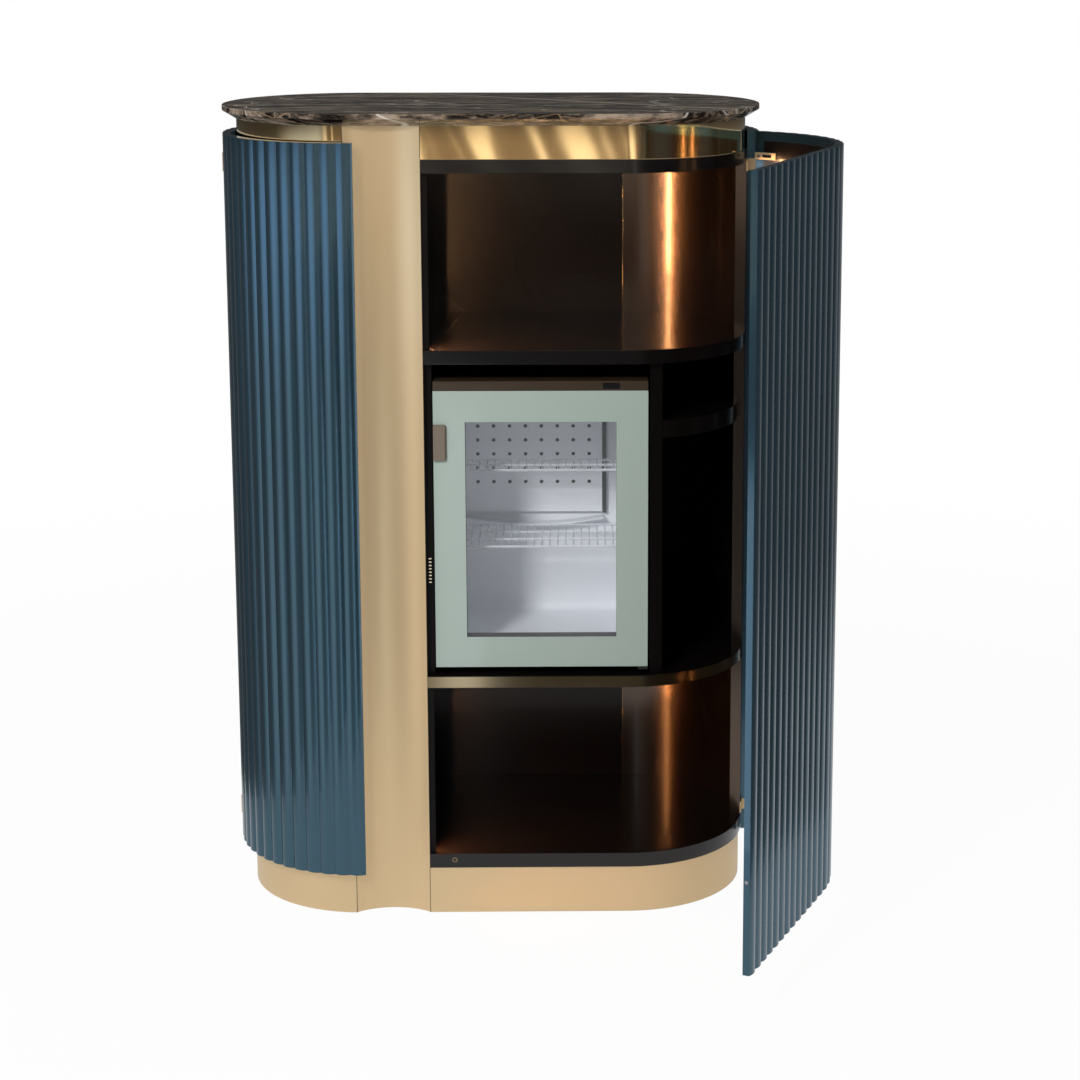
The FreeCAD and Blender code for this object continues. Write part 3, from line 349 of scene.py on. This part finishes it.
def pick(kind, test):
    """Selects the faces, edges or corners of the piece being edited that pass the test."""
    bpy.ops.mesh.select_mode(type={"faces": "FACE", "edges": "EDGE", "verts": "VERT"}[kind])
    bpy.ops.mesh.select_all(action="DESELECT")
    mesh = bpy.context.edit_object.data
    for part in getattr(bmesh.from_edit_mesh(mesh), kind):
        if test(part):
            part.select_set(True)
    bmesh.update_edit_mesh(mesh)


def close_shape():
    """Merges doubles and turns all faces outwards."""
    bpy.ops.mesh.select_all(action="SELECT")
    bpy.ops.mesh.remove_doubles(threshold=weld_gap)
    bpy.ops.mesh.normals_make_consistent(inside=False)


half_straight = back_high.x
trim_thick = 0.0006
trim_sunk = 0.0002
trim_margin = 0.0012
trim_start = 0.0003
trim_turn = -80
trim = start_block("middle_shelf_trim",
                   (shelf_low.x + trim_start, shelf_low.y - trim_thick, shelf_low.z + trim_margin),
                   (half_straight, shelf_low.y + trim_sunk, shelf_high.z - trim_margin))
pick("faces", lambda face: face.normal.x > 0.9)
bpy.ops.mesh.spin(steps=32, angle=math.radians(trim_turn), center=(half_straight, 0, 0), axis=(0, 0, 1))
close_shape()
end_piece(trim, "cabinet", "bronze_lacquer", bronze_trim)


# Column
# A hollow-fronted upright between the left door and the open rooms, in satin brass sheet.
# The sheet is folded over a shaped board, with crisp arrises on both sides.

sheet_arris = 0.0012
softened("column_skin", "column_sheet", sheet_arris, "cabinet", "brass_satin", satin_brass)


# Light strips
# A folded black channel on the column's inner side in each lit room, with a frosted acrylic cover.
# The cover glows warm white; a lip hides it from the front, and a driver in the duct feeds it.

glow, shader, place = new_finish("warm_glow", {"Roughness": 0.5, "Emission Strength": 460.0})
upper_room = place.axis(2).ramp(0.7, 0.8)
lower_strip = place.noise(40.0, 1.0).mix((0.44, 0.183, 0.060, 1), (0.49, 0.22, 0.073, 1))
upper_strip = place.noise(40.0, 1.0).mix((0.95, 0.48, 0.20, 1), (1.0, 0.53, 0.23, 1))
feed(shader, {"Base Color": place.noise(30.0).mix((0.80, 0.70, 0.55, 1), (0.88, 0.78, 0.64, 1)),
              "Emission Color": upper_room.mix(lower_strip, upper_strip)})
dress(glow, "led_diffusers")
channel_black = lacquer("channel_black", (0.005, 0.004, 0.004, 1), (0.008, 0.006, 0.005, 1), 0.40,
                        {"Specular IOR Level": 0.10})
channel_low, channel_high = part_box("led_channels")
fold_inset = 0.0001
lip_thick = 0.0016
front_reach, back_reach = 0.0055, 0.0024
for room, foot, head in lit_rooms:
    channel = start_block("light_channel_" + room,
                          (channel_low.x + fold_inset, channel_low.y, foot),
                          (channel_high.x - fold_inset, channel_high.y, head))
    for side, edge, reach in ((-1, channel_low.y, front_reach), (1, channel_high.y, back_reach)):
        pick("faces", lambda face: face.normal.y * side > 0.9)
        bpy.ops.mesh.extrude_region_move(TRANSFORM_OT_translate={"value": (0, side * lip_thick, 0)})
        pick("faces", lambda face: face.normal.x > 0.9
             and (face.calc_center_median().y - edge) * side > 0)
        bpy.ops.mesh.extrude_region_move(TRANSFORM_OT_translate={"value": (reach, 0, 0)})
    close_shape()
    end_piece(channel, "cabinet", "light_alloy", channel_black)
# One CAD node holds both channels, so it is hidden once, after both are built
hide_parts("led_channels")


# Hinge leaves, pins and catches
# Folded brass leaves screwed to the walls, hardened pins, and small ring magnets with steel strikes.
# The steel is zinc plated; the ring that shows in front is bronze.

steel = brushed_metal("zinc_steel", (0.30, 0.30, 0.31, 1), (0.40, 0.40, 0.41, 1), 0.32,
                      (0.2, 0.2, 1.0), {})
dress(steel, "right_hinge_pins", "left_hinge_pins", "left_catch", "right_strike", "left_strike",
      "fridge_hinge_pins")
dress(satin_brass, "right_hinge_leaves", "left_hinge_leaves")
dress(bronze_trim, "right_catch")


# Fridge case and inside
# A small hotel fridge: dark painted steel case, moulded white liner, perforated plate over a cold plate.
# Two clear grid racks rest on moulded rails, and the cooling unit hangs on the back.

fridge_paint = moulded("fridge_paint", (0.010, 0.009, 0.009, 1), (0.016, 0.014, 0.013, 1), 0.35, 900.0)
liner_white = moulded("liner_white", (0.83, 0.85, 0.90, 1), (0.89, 0.91, 0.95, 1), 0.36, 700.0)
strip_dark = moulded("strip_dark", (0.040, 0.025, 0.014, 1), (0.052, 0.033, 0.019, 1), 0.30, 500.0)
display, shader, place = new_finish("display_glass", {"Coat Weight": 0.6, "Specular IOR Level": 0.3})
feed(shader, {"Base Color": place.noise(60.0).mix((0.004, 0.004, 0.005, 1), (0.008, 0.008, 0.010, 1)),
              "Roughness": 0.12 + 0.05 * place.noise(200.0)})
dress(fridge_paint, "fridge_shell", "fridge_cooling_unit", "fridge_hinge_bracket")
dress(liner_white, "fridge_back_plate")
dress(display, "fridge_display")
dress(black_plastic, "fridge_feet")
softened("fridge_control_strip", "control_strip", board_arris, "cabinet", "dark_strip", strip_dark)

liner_low, liner_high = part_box("fridge_liner")
liner_inset, liner_wall, liner_round = 0.004, 0.0039, 0.014
liner = start_block("moulded_liner",
                    (liner_low.x + liner_inset, liner_low.y, liner_low.z + liner_inset),
                    (liner_high.x - liner_inset, liner_high.y - liner_inset, liner_high.z - liner_inset))
pick("faces", lambda face: face.normal.y < -0.9)
bpy.ops.mesh.delete(type="FACE")
pick("edges", lambda edge: max(corner.co.y for corner in edge.verts) > liner_low.y + liner_wall)
round_edges(liner_round, 5)
close_shape()
bpy.ops.mesh.flip_normals()
bpy.ops.object.mode_set(mode="OBJECT")
apply_modifier(liner, "SOLIDIFY", thickness=liner_wall, offset=-1.0)
edit(liner)
end_piece(liner, "cabinet", "white_plastic", liner_white, "fridge_liner")

# The cold plate's dark grey seen through the holes is partly its own colour and partly painted shade;
# the dark strip right of the plate is painted shadow in the gap beside it
cold_grey_painted_shade = moulded("cold_grey_painted_shade", (0.040, 0.042, 0.048, 1), (0.055, 0.058, 0.066, 1), 0.45, 800.0)
plate_low, plate_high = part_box("fridge_back_plate")
cold_margin, cold_head = 0.003, 0.006
cold_front = plate_low.y + 0.0035
cold_thick = 0.003
cold_low = (plate_low.x + cold_margin, cold_front, plate_low.z + cold_margin)
cold_high = (plate_high.x - cold_margin, cold_front + cold_thick, plate_high.z - cold_head)
edge_gap, edge_width, edge_thick = 0.001, 0.0075, 0.0065
edge_foot, edge_head = 0.003, 0.004
edge_low = (plate_high.x + edge_gap, plate_low.y + edge_gap, plate_low.z - edge_foot)
edge_high = (edge_low[0] + edge_width, edge_low[1] + edge_thick, plate_high.z - edge_head)
cold_rim, cold_dish = 0.0015, 0.0008
for name, low, high in (("cold_plate", cold_low, cold_high), ("cold_plate_edge", edge_low, edge_high)):
    cold_plate = start_block(name, low, high)
    pick("faces", lambda face: face.normal.y < -0.9)
    bpy.ops.mesh.inset(thickness=cold_rim)
    bpy.ops.transform.translate(value=(0, cold_dish, 0))
    end_piece(cold_plate, "cabinet", "fridge_case", cold_grey_painted_shade)

tray_half, tray_sag = 0.136, 0.013
tray_thick, tray_end = 0.003, 0.001
tray_drop, tray_reach, tray_depth = 0.0075, 0.018, 0.0255
tray_middle = (plate_low.x + plate_high.x) / 2
tray_foot = plate_low.z - tray_drop
tray_front = plate_low.y - tray_reach
tray_round = (tray_half ** 2 + tray_sag ** 2) / (2 * tray_sag)
tray_turn = math.asin(tray_half / tray_round)
tray = start_block("drip_tray", (tray_middle - tray_half - tray_end, tray_front, tray_foot - tray_thick),
                   (tray_middle - tray_half, tray_front + tray_depth, tray_foot))
pick("faces", lambda face: face.normal.x > 0.9)
bpy.ops.mesh.spin(steps=24, angle=2 * tray_turn, axis=(0, 1, 0),
                  center=(tray_middle, tray_front, tray_foot - tray_sag + tray_round))
close_shape()
end_piece(tray, "cabinet", "white_plastic", liner_white)

clear_rack, shader, place = new_finish("clear_rack", {"Specular IOR Level": 0.6})
cloud = place.noise(30.0, 2.0)
feed(shader, {"Base Color": cloud.mix((0.80, 0.83, 0.88, 1), (0.88, 0.90, 0.94, 1)),
              "Roughness": 0.14 + 0.08 * cloud,
              "Alpha": 0.52 + 0.2 * cloud})
bar, rack_columns = 0.0030, 22
rack_inset, rack_depth = 0.004, 0.98
rail_width, rail_end = 0.006, 0.006
rail_drop, rail_gap = 0.0065, 0.0003
rail_arris = 0.0015
for level, rows in (("lower", 3), ("upper", 2)):
    name, node = "rack_" + level, "fridge_shelf_" + level
    low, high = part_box(node)
    middle = (low + high) / 2
    bpy.ops.object.select_all(action="DESELECT")
    bpy.ops.mesh.primitive_grid_add(x_subdivisions=rack_columns, y_subdivisions=rows, size=1,
                                    location=middle)
    bpy.context.object.scale = (high.x - low.x - rack_inset, high.y - low.y - rack_inset, 1)
    rack = start_piece(name)
    bpy.ops.object.mode_set(mode="OBJECT")
    apply_modifier(rack, "WIREFRAME", thickness=bar, use_boundary=True, use_even_offset=True)
    edit(rack)
    bpy.ops.transform.resize(value=(1, 1, (high.z - low.z) / bar * rack_depth), center_override=middle)
    close_shape()
    end_piece(rack, "cabinet", "white_plastic", clear_rack, node)
    rail = start_block(name + "_rail_left", (low.x, low.y - rail_end, low.z - rail_drop),
                       (low.x + rail_width, high.y + rail_end, low.z - rail_gap))
    round_edges(rail_arris, 3)
    end_piece(rail, "cabinet", "white_plastic", liner_white)
    to_right = Matrix.Translation((high.x - low.x - rail_width, 0, 0))
    rail = copied(rail, name + "_rail_right", to_right)
    end_piece(rail, "cabinet", "white_plastic", liner_white)


# Strip beside the fridge and its vent
# A matt black board with eight thin pale brass louvres set in its slots, where warm air leaves.
# They are cut from strip and pressed in from behind.

softened("fridge_filler", "fridge_filler_board", board_arris, "cabinet", "bronze_lacquer", channel_black)
pale_brass = brushed_metal("pale_brass", (0.72, 0.60, 0.42, 1), (0.80, 0.68, 0.50, 1), 0.25,
                           (0.03, 1.0, 1.0), {})
strip_low, strip_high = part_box("fridge_filler")
strip_middle = (strip_low.x + strip_high.x) / 2
slot_rise, slot_pitch, slot_count = 0.1732, 0.0064, 8
slot_foot = strip_low.z + slot_rise
louvre_half, louvre_thick = 0.00285, 0.0028
louvre_sunk, louvre_end = 0.0004, 0.0010
louvre_arris = 0.0006
louvres = start_block("vent_louvres",
                      (strip_middle - louvre_half, strip_low.y + louvre_sunk, slot_foot),
                      (strip_middle + louvre_half, strip_high.y - louvre_end, slot_foot + louvre_thick))
round_edges(louvre_arris)
bpy.ops.object.mode_set(mode="OBJECT")
apply_modifier(louvres, "ARRAY", count=slot_count, use_relative_offset=False, use_constant_offset=True,
               constant_offset_displace=(0, 0, slot_pitch))
edit(louvres)
end_piece(louvres, "cabinet", "brass_satin", pale_brass)


# Fridge door
# A pane of mint back-painted glass on a dark frame, with a clear window and a seal behind it.
# The small handle is bronze-coloured alloy, clipped over the pane's left edge.

mint, shader, place = new_finish("mint_glass", {"Coat Weight": 0.25, "Coat Roughness": 0.03,
                                                "Specular IOR Level": 0.25})
cloud = place.noise(5.0, 2.0)
feed(shader, {"Base Color": cloud.mix((0.368, 0.446, 0.397, 1), (0.391, 0.469, 0.420, 1)),
              "Roughness": 0.26 + 0.06 * cloud})
pane, shader, place = new_finish("clear_pane", {"Roughness": 0.03})
smear = place.noise(14.0, 3.0)
feed(shader, {"Base Color": smear.mix((0.62, 0.68, 0.70, 1), (0.70, 0.76, 0.78, 1)),
              "Alpha": 0.03 + 0.02 * smear})
rubber = moulded("gasket_rubber", (0.05, 0.05, 0.052, 1), (0.08, 0.08, 0.082, 1), 0.6, 600.0)
handle_alloy = brushed_metal("handle_alloy", (0.24, 0.185, 0.14, 1), (0.29, 0.225, 0.175, 1), 0.38,
                             (1.0, 1.0, 0.05), {"Metallic": 0.6, "Specular IOR Level": 0.4})
leaf_arris, mint_thick = 0.0012, 0.002
mint_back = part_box("fridge_door_frame")[0].y + mint_thick
leaf = softened("fridge_door_frame", "fridge_door_leaf", leaf_arris, "fridge_door", "mint_paint", mint)
leaf.data.materials.append(rubber)
for face in leaf.data.polygons:
    if face.center.y > mint_back:
        face.material_index = 1
dress(pane, "fridge_door_glass")
dress(rubber, "fridge_door_gasket")

grip_low, grip_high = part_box("fridge_handle")
grip_corner, grip_arris = 0.0042, 0.0007
near = 1e-5
grip = start_block("fridge_grip", grip_low, grip_high)
pick("edges", lambda edge: all(corner.co.x > grip_high.x - near for corner in edge.verts)
     and not all(corner.co.y > grip_high.y - near for corner in edge.verts))
round_edges(grip_corner, 4)
pick("edges", lambda edge: edge.calc_face_angle(0) > 0.9)
round_edges(grip_arris)
close_shape()
end_piece(grip, "fridge_door", "handle_alloy", handle_alloy, "fridge_handle")


# Fluted doors and rear cladding
# Curved fluted panels, moulded and sprayed in a metallic blue, then clear-coated and polished.
# The two doors, lined in bronze-black, hang at the round ends; the cladding runs round the back.

blue, shader, place = new_finish("blue_metallic", {"Coat Weight": 0.35, "Coat Roughness": 0.04,
                                                   "Specular IOR Level": 0.4})
flake = place.noise(2600.0, 1.0)
cloud = place.noise(2.5, 2.0)
feed(shader, {"Base Color": (0.7 * flake + 0.3 * cloud).mix((0.034, 0.077, 0.112, 1),
                                                            (0.058, 0.124, 0.172, 1)),
              "Metallic": 0.80 + 0.15 * flake,
              "Roughness": 0.22 + 0.08 * flake,
              "Normal": flake.bump(0.00001)})
door_arris, cladding_arris, lining_arris = 0.0012, 0.0010, 0.0006
softened("left_door_panel", "left_door_flutes", door_arris, "left_door", "blue_lacquer", blue)
softened("right_door_panel", "right_door_flutes", door_arris, "right_door", "blue_lacquer", blue)
for side in ("right", "left", "back"):
    softened("rear_cladding_" + side, "cladding_flutes_" + side, cladding_arris, "cabinet",
             "blue_lacquer", blue)
for side in ("right", "left"):
    softened(side + "_door_lining", side + "_door_liner", lining_arris, side + "_door", "lining",
             bronze_black)

door_open = 66.5
plug_spot = (0.4413, -0.7054, 0.253)
plug_radius, plug_long, plug_arris = 0.0034, 0.0016, 0.0005
bpy.ops.object.select_all(action="DESELECT")
bpy.ops.mesh.primitive_cylinder_add(vertices=24, radius=plug_radius, depth=plug_long, location=plug_spot,
                                    rotation=(math.pi / 2, 0, math.radians(door_open - 90)))
plug = start_piece("door_edge_plug")
round_edges(plug_arris)
close_shape()
end_piece(plug, "right_door", "steel", steel)


# Hinge straps
# Satin brass straps on the inside of each door, top and bottom, with a slot for a screw.
# A dome-headed screw sits in each slot.

strap_arris = 0.0004
for side in ("right", "left"):
    softened(side + "_hinge_straps", side + "_straps", strap_arris, side + "_door", "brass_satin",
             satin_brass)


def screw_place(spot, height, turn):
    """Where a screw sits: the middle of its head and the way that it faces, in degrees about Z."""
    return Matrix.Translation((*spot, height)) @ Matrix.Rotation(math.radians(turn), 4, "Z")


strap_low, strap_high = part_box("right_hinge_straps")
strap_half = 0.0065
top = strap_high.z - strap_half
bottom = strap_low.z + strap_half
right_spot, right_turn = (0.4979, -0.0364), -29.8
left_spot, left_turn = (-0.4801, -0.0254), 96.3
screw_radius, screw_long, screw_dome = 0.0032, 0.0022, 0.0009
bpy.ops.object.select_all(action="DESELECT")
bpy.ops.mesh.primitive_cylinder_add(vertices=20, radius=screw_radius, depth=screw_long,
                                    location=(*right_spot, top),
                                    rotation=(math.pi / 2, 0, math.radians(right_turn)))
screw = start_piece("strap_screw_right_top")
round_edges(screw_dome, 3)
close_shape()
end_piece(screw, "right_door", "steel", steel)
from_first = screw_place(right_spot, top, right_turn).inverted()
for name, body, seat in (("right_bottom", "right_door", screw_place(right_spot, bottom, right_turn)),
                         ("left_top", "left_door", screw_place(left_spot, top, left_turn)),
                         ("left_bottom", "left_door", screw_place(left_spot, bottom, left_turn))):
    end_piece(copied(screw, "strap_screw_" + name, seat @ from_first), body, "steel", steel)


# Collar
# A polished brass band on a board ring between the doors and the stone.
# It is rolled from one strip, soldered at the back and buffed to a mirror.

mirror_brass, shader, place = new_finish("mirror_brass", {"Metallic": 1.0})
wave = place.noise(7.0, 1.0)
buff = place.stretched((1.0, 1.0, 0.1)).noise(300.0, 2.0)
feed(shader, {"Base Color": wave.mix((0.70, 0.50, 0.25, 1), (0.76, 0.56, 0.30, 1)),
              "Roughness": 0.05 + 0.03 * buff,
              "Normal": wave.bump(0.0012, 0.6)})
dress(mirror_brass, "collar_band")


# Stone top
# An oval slab of dark brown marble with white and gold veins, polished.
# It is sawn from one slab, its edge ground to an under-cut bevel, and glued to the collar's frame.

slab_low, slab_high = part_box("marble_top")
slab_round = slab_high.y
slab_undercut, slab_upright, slab_arris = 0.023, 0.009, 0.0009
slab_foot = slab_round - slab_undercut
slab_bevel = slab_high.z - slab_low.z - slab_upright
rim_points = 256
bpy.ops.object.select_all(action="DESELECT")
bpy.ops.mesh.primitive_circle_add(vertices=rim_points, radius=slab_foot, fill_type="NGON",
                                  location=(0, 0, slab_low.z), rotation=(0, 0, math.pi / rim_points))
slab = start_piece("stone_slab")
bpy.ops.mesh.extrude_region_move(TRANSFORM_OT_translate={"value": (0, 0, slab_bevel)})
bpy.ops.transform.resize(value=(slab_round / slab_foot, slab_round / slab_foot, 1),
                         center_override=(0, 0, 0))
bpy.ops.mesh.extrude_region_move(TRANSFORM_OT_translate={"value": (0, 0, slab_upright)})
pick("edges", lambda edge: abs(edge.verts[0].co.z - edge.verts[1].co.z) < near)
round_edges(slab_arris, 3)
for side in (-1, 1):
    pick("verts", lambda corner: corner.co.x * side > 0)
    bpy.ops.transform.translate(value=(side * half_straight, 0, 0))
close_shape()

marble, shader, place = new_finish("brown_marble", {"Coat IOR": 1.7, "Coat Roughness": 0.03,
                                                    "Specular IOR Level": 0.18})
bed = place.node("ShaderNodeMapping", None,
                 {"Vector": place, "Scale": (0.42, 1.5, 1.0), "Rotation": (0.3, 0.0, 0.16)})
drift = bed.noise(3.0, 4.0, 0.55)
swirl = bed.node("ShaderNodeVectorMath", {"operation": "MULTIPLY_ADD"},
                 {0: Shade(drift.output.node.outputs[1]), 1: (0.26, 0.26, 0.26), 2: bed})
wide, fine = [swirl.node("ShaderNodeTexVoronoi", {"feature": "DISTANCE_TO_EDGE"},
                         {"Vector": swirl, "Scale": scale}) for scale in (5.0, 15.0)]
patch = place.noise(6.0, 3.0)
beds = bed.stretched((1.0, 1.3, 2.0)).noise(14.0, 5.0, 0.7)
streak = 0.55 * beds + 0.45 * bed.noise(75.0, 4.0, 0.65)
body_tone = streak.ramp(0.42, 0.62).mix((0.010, 0.007, 0.005, 1), (0.38, 0.29, 0.215, 1))
white_vein = (1 - wide.ramp(0.0, 0.014)) * patch.ramp(0.28, 0.50)
gold_vein = (1 - fine.ramp(0.0, 0.020)) * patch.ramp(0.66, 0.40)
veined = (0.75 * gold_vein).mix(body_tone, (0.36, 0.24, 0.12, 1))
vein_x, vein_y, vein_offset = 0.548, 0.836, 0.117
across = vein_x * place.axis(0) + vein_y * place.axis(1) + 0.03 * (drift - 0.5) - vein_offset
long_vein = 0.8 - 0.8 * across.math("ABSOLUTE", across, 0.0).ramp(0.0015, 0.006)
veins = white_vein.math("MAXIMUM", white_vein, long_vein)
top_face = place.axis(2).ramp(slab_high.z - 0.012, slab_high.z - 0.008)
feed(shader, {"Base Color": veins.mix(veined, (0.62, 0.57, 0.50, 1)),
              "Roughness": 0.14 + 0.10 * veins,
              "Coat Weight": 0.75 - 0.55 * top_face})
end_piece(slab, "cabinet", "stone", marble, "marble_top")


# Floor, light and camera
# A plain pale floor in white surroundings, a soft key light above left, and a ring of studio cards.
# The cards show in gloss only: a cool one at the left, a narrow bright one right of the front,
# slanted beams high in front, and pale ones behind.

def seen_rays(path):
    """1 for rays from the camera, and for those in gloss and glass."""
    inner = path.math("MAXIMUM", Shade(path.output.node.outputs["Is Glossy Ray"]),
                      Shade(path.output.node.outputs["Is Transmission Ray"]))
    return path.math("MAXIMUM", path, inner)


bpy.ops.object.select_all(action="DESELECT")
bpy.ops.mesh.primitive_plane_add(size=60)
floor = bpy.context.object
floor.name = "floor"
pale = bpy.data.materials.new("pale_floor")
pale.use_nodes = True
tree = pale.node_tree
path = Shade(tree.nodes.new("ShaderNodeLightPath").outputs["Is Camera Ray"])
plain = path.node("ShaderNodeBsdfDiffuse", None, {"Color": (0.85, 0.85, 0.85, 1)})
bright = path.node("ShaderNodeEmission", None, {"Color": (1, 1, 1, 1), "Strength": 1.0})
place = Shade(tree.nodes.new("ShaderNodeTexCoord").outputs["Object"])
far = place.node("ShaderNodeVectorMath", {"operation": "LENGTH"}, {0: place}, 1).ramp(1.2, 4.0)
white_share = 0.65 * seen_rays(path) + (0.31 + 0.04 * far) * path
both = path.node("ShaderNodeMixShader", None, {0: white_share, 1: plain, 2: bright})
tree.links.new(both.output, tree.nodes["Material Output"].inputs["Surface"])
floor.data.materials.append(pale)

world = bpy.data.worlds.new("studio")
world.use_nodes = True
bpy.context.scene.world = world
tree = world.node_tree
path = Shade(tree.nodes.new("ShaderNodeLightPath").outputs["Is Camera Ray"])
soft = path.node("ShaderNodeBackground", None, {"Color": (1, 1, 1, 1), "Strength": 0.38})
white = path.node("ShaderNodeBackground", None, {"Color": (1, 1, 1, 1), "Strength": 1.0})
both = path.node("ShaderNodeMixShader", None, {0: seen_rays(path), 1: soft, 2: white})
tree.links.new(both.output, tree.nodes["World Output"].inputs["Surface"])

card_middle, card_round, card_height = (0.1, -0.2), 1.1, 1.5
behind, back_rise = 0.6, 3.0
bpy.ops.object.select_all(action="DESELECT")
bpy.ops.mesh.primitive_cylinder_add(vertices=96, radius=card_round, depth=card_height,
                                    end_fill_type="NOTHING", location=(*card_middle, card_height / 2))
cards = start_piece("studio_cards")
pick("verts", lambda corner: corner.co.y > behind and corner.co.z > card_height / 2)
bpy.ops.transform.translate(value=(0, 0, back_rise))
bpy.ops.object.mode_set(mode="OBJECT")
tones = bpy.data.materials.new("card_tones")
tones.use_nodes = True
tree = tones.node_tree
place = Shade(tree.nodes.new("ShaderNodeTexCoord").outputs["Object"])
turn = place.math("ARCTAN2", place.axis(0) - card_middle[0], card_middle[1] - place.axis(1))
round_share = 0.5 + turn * (0.5 / math.pi)


def card_stop(degrees, tone):
    """A stop of the cards' tone at an angle from the front, towards the right."""
    return 0.5 + degrees / 360, (tone, tone, tone, 1)


band = round_share.node("ShaderNodeValToRGB", {"stops": [
    card_stop(-180, 0.14), card_stop(-165, 0.12), card_stop(-155, 0.03), card_stop(-98, 0.03),
    card_stop(-84, 0.05), card_stop(-70, 0.21), card_stop(-55, 0.21), card_stop(-47, 0.06),
    card_stop(-29, 0.04), card_stop(-22, 0.11), card_stop(-17, 0.11), card_stop(-11, 0.02),
    card_stop(28, 0.02), card_stop(33, 0.50), card_stop(38, 0.50), card_stop(43, 0.03),
    card_stop(90, 0.03), card_stop(100, 0.06), card_stop(152, 0.06), card_stop(160, 0.20),
    card_stop(180, 0.20)]}, {"Fac": round_share})
height = place.axis(2)
# Masks in radians round the cards and metres up them; the edge strip shows in the open door's edge
edge_strip = turn.ramp(-0.245, -0.215) * (1 - turn.ramp(-0.16, -0.13)) * (1 - height.ramp(0.70, 0.85))
low_right = turn.ramp(1.45, 1.75) * (1 - turn.ramp(2.6, 2.8)) * (1 - height.ramp(0.1, 0.6))
front = (turn + 1.10).ramp(0.0, 0.1) * (0.40 - turn).ramp(0.0, 0.1) * height.ramp(1.10, 1.16)
cool_left = (turn + 1.50).ramp(0.0, 0.35) * (-0.70 - turn).ramp(0.0, 0.22) * height.ramp(0.80, 1.25)
dark_top = height.ramp(1.34, 1.44)
slant = 7.0 * (place.axis(0) + 0.35 * height)
stripes = slant.node("ShaderNodeCombineXYZ", None, {"X": slant}).noise(1.9, 1.0).ramp(0.50, 0.56)
beams = stripes.mix((0.070, 0.057, 0.044, 1), (0.36, 0.33, 0.28, 1))
shown = cool_left.mix(front.mix(band, beams), (0.26, 0.31, 0.39, 1))
shown = low_right.mix(shown, (0.14, 0.14, 0.14, 1))
shown = edge_strip.mix(shown, (0.45, 0.53, 0.60, 1))
shown = dark_top.mix(shown, (0.01, 0.01, 0.01, 1))
lit = place.node("ShaderNodeEmission", None, {"Color": shown, "Strength": 5.0})
tree.links.new(lit.output, tree.nodes["Material Output"].inputs["Surface"])
cards.data.materials.append(tones)
cards.visible_camera = False
cards.visible_diffuse = False
cards.visible_transmission = False
cards.visible_shadow = False

lamp = bpy.data.lights.new("key_light", "AREA")
lamp.energy = 150.0
lamp.shape = "SQUARE"
lamp.size = 0.7
key = bpy.data.objects.new("key_light", lamp)
key.location = (-1.6, -4.2, 3.4)
key.rotation_euler = (math.radians(59.5), 0, math.radians(-20.9))
key.visible_camera = False
key.visible_glossy = False
bpy.context.scene.collection.objects.link(key)

lens = bpy.data.cameras.new("camera")
lens.sensor_width = 36.0
lens.lens = 83.61
lens.shift_x = -0.0652
lens.shift_y = -0.1389
camera = bpy.data.objects.new("camera", lens)
camera.location = (0.14986, -4.6975, 1.8856)
camera.rotation_euler = (math.pi / 2 - 0.1939, 0, -0.0154)
bpy.context.scene.collection.objects.link(camera)
bpy.context.scene.camera = camera
bpy.context.scene.view_settings.view_transform = "Standard"
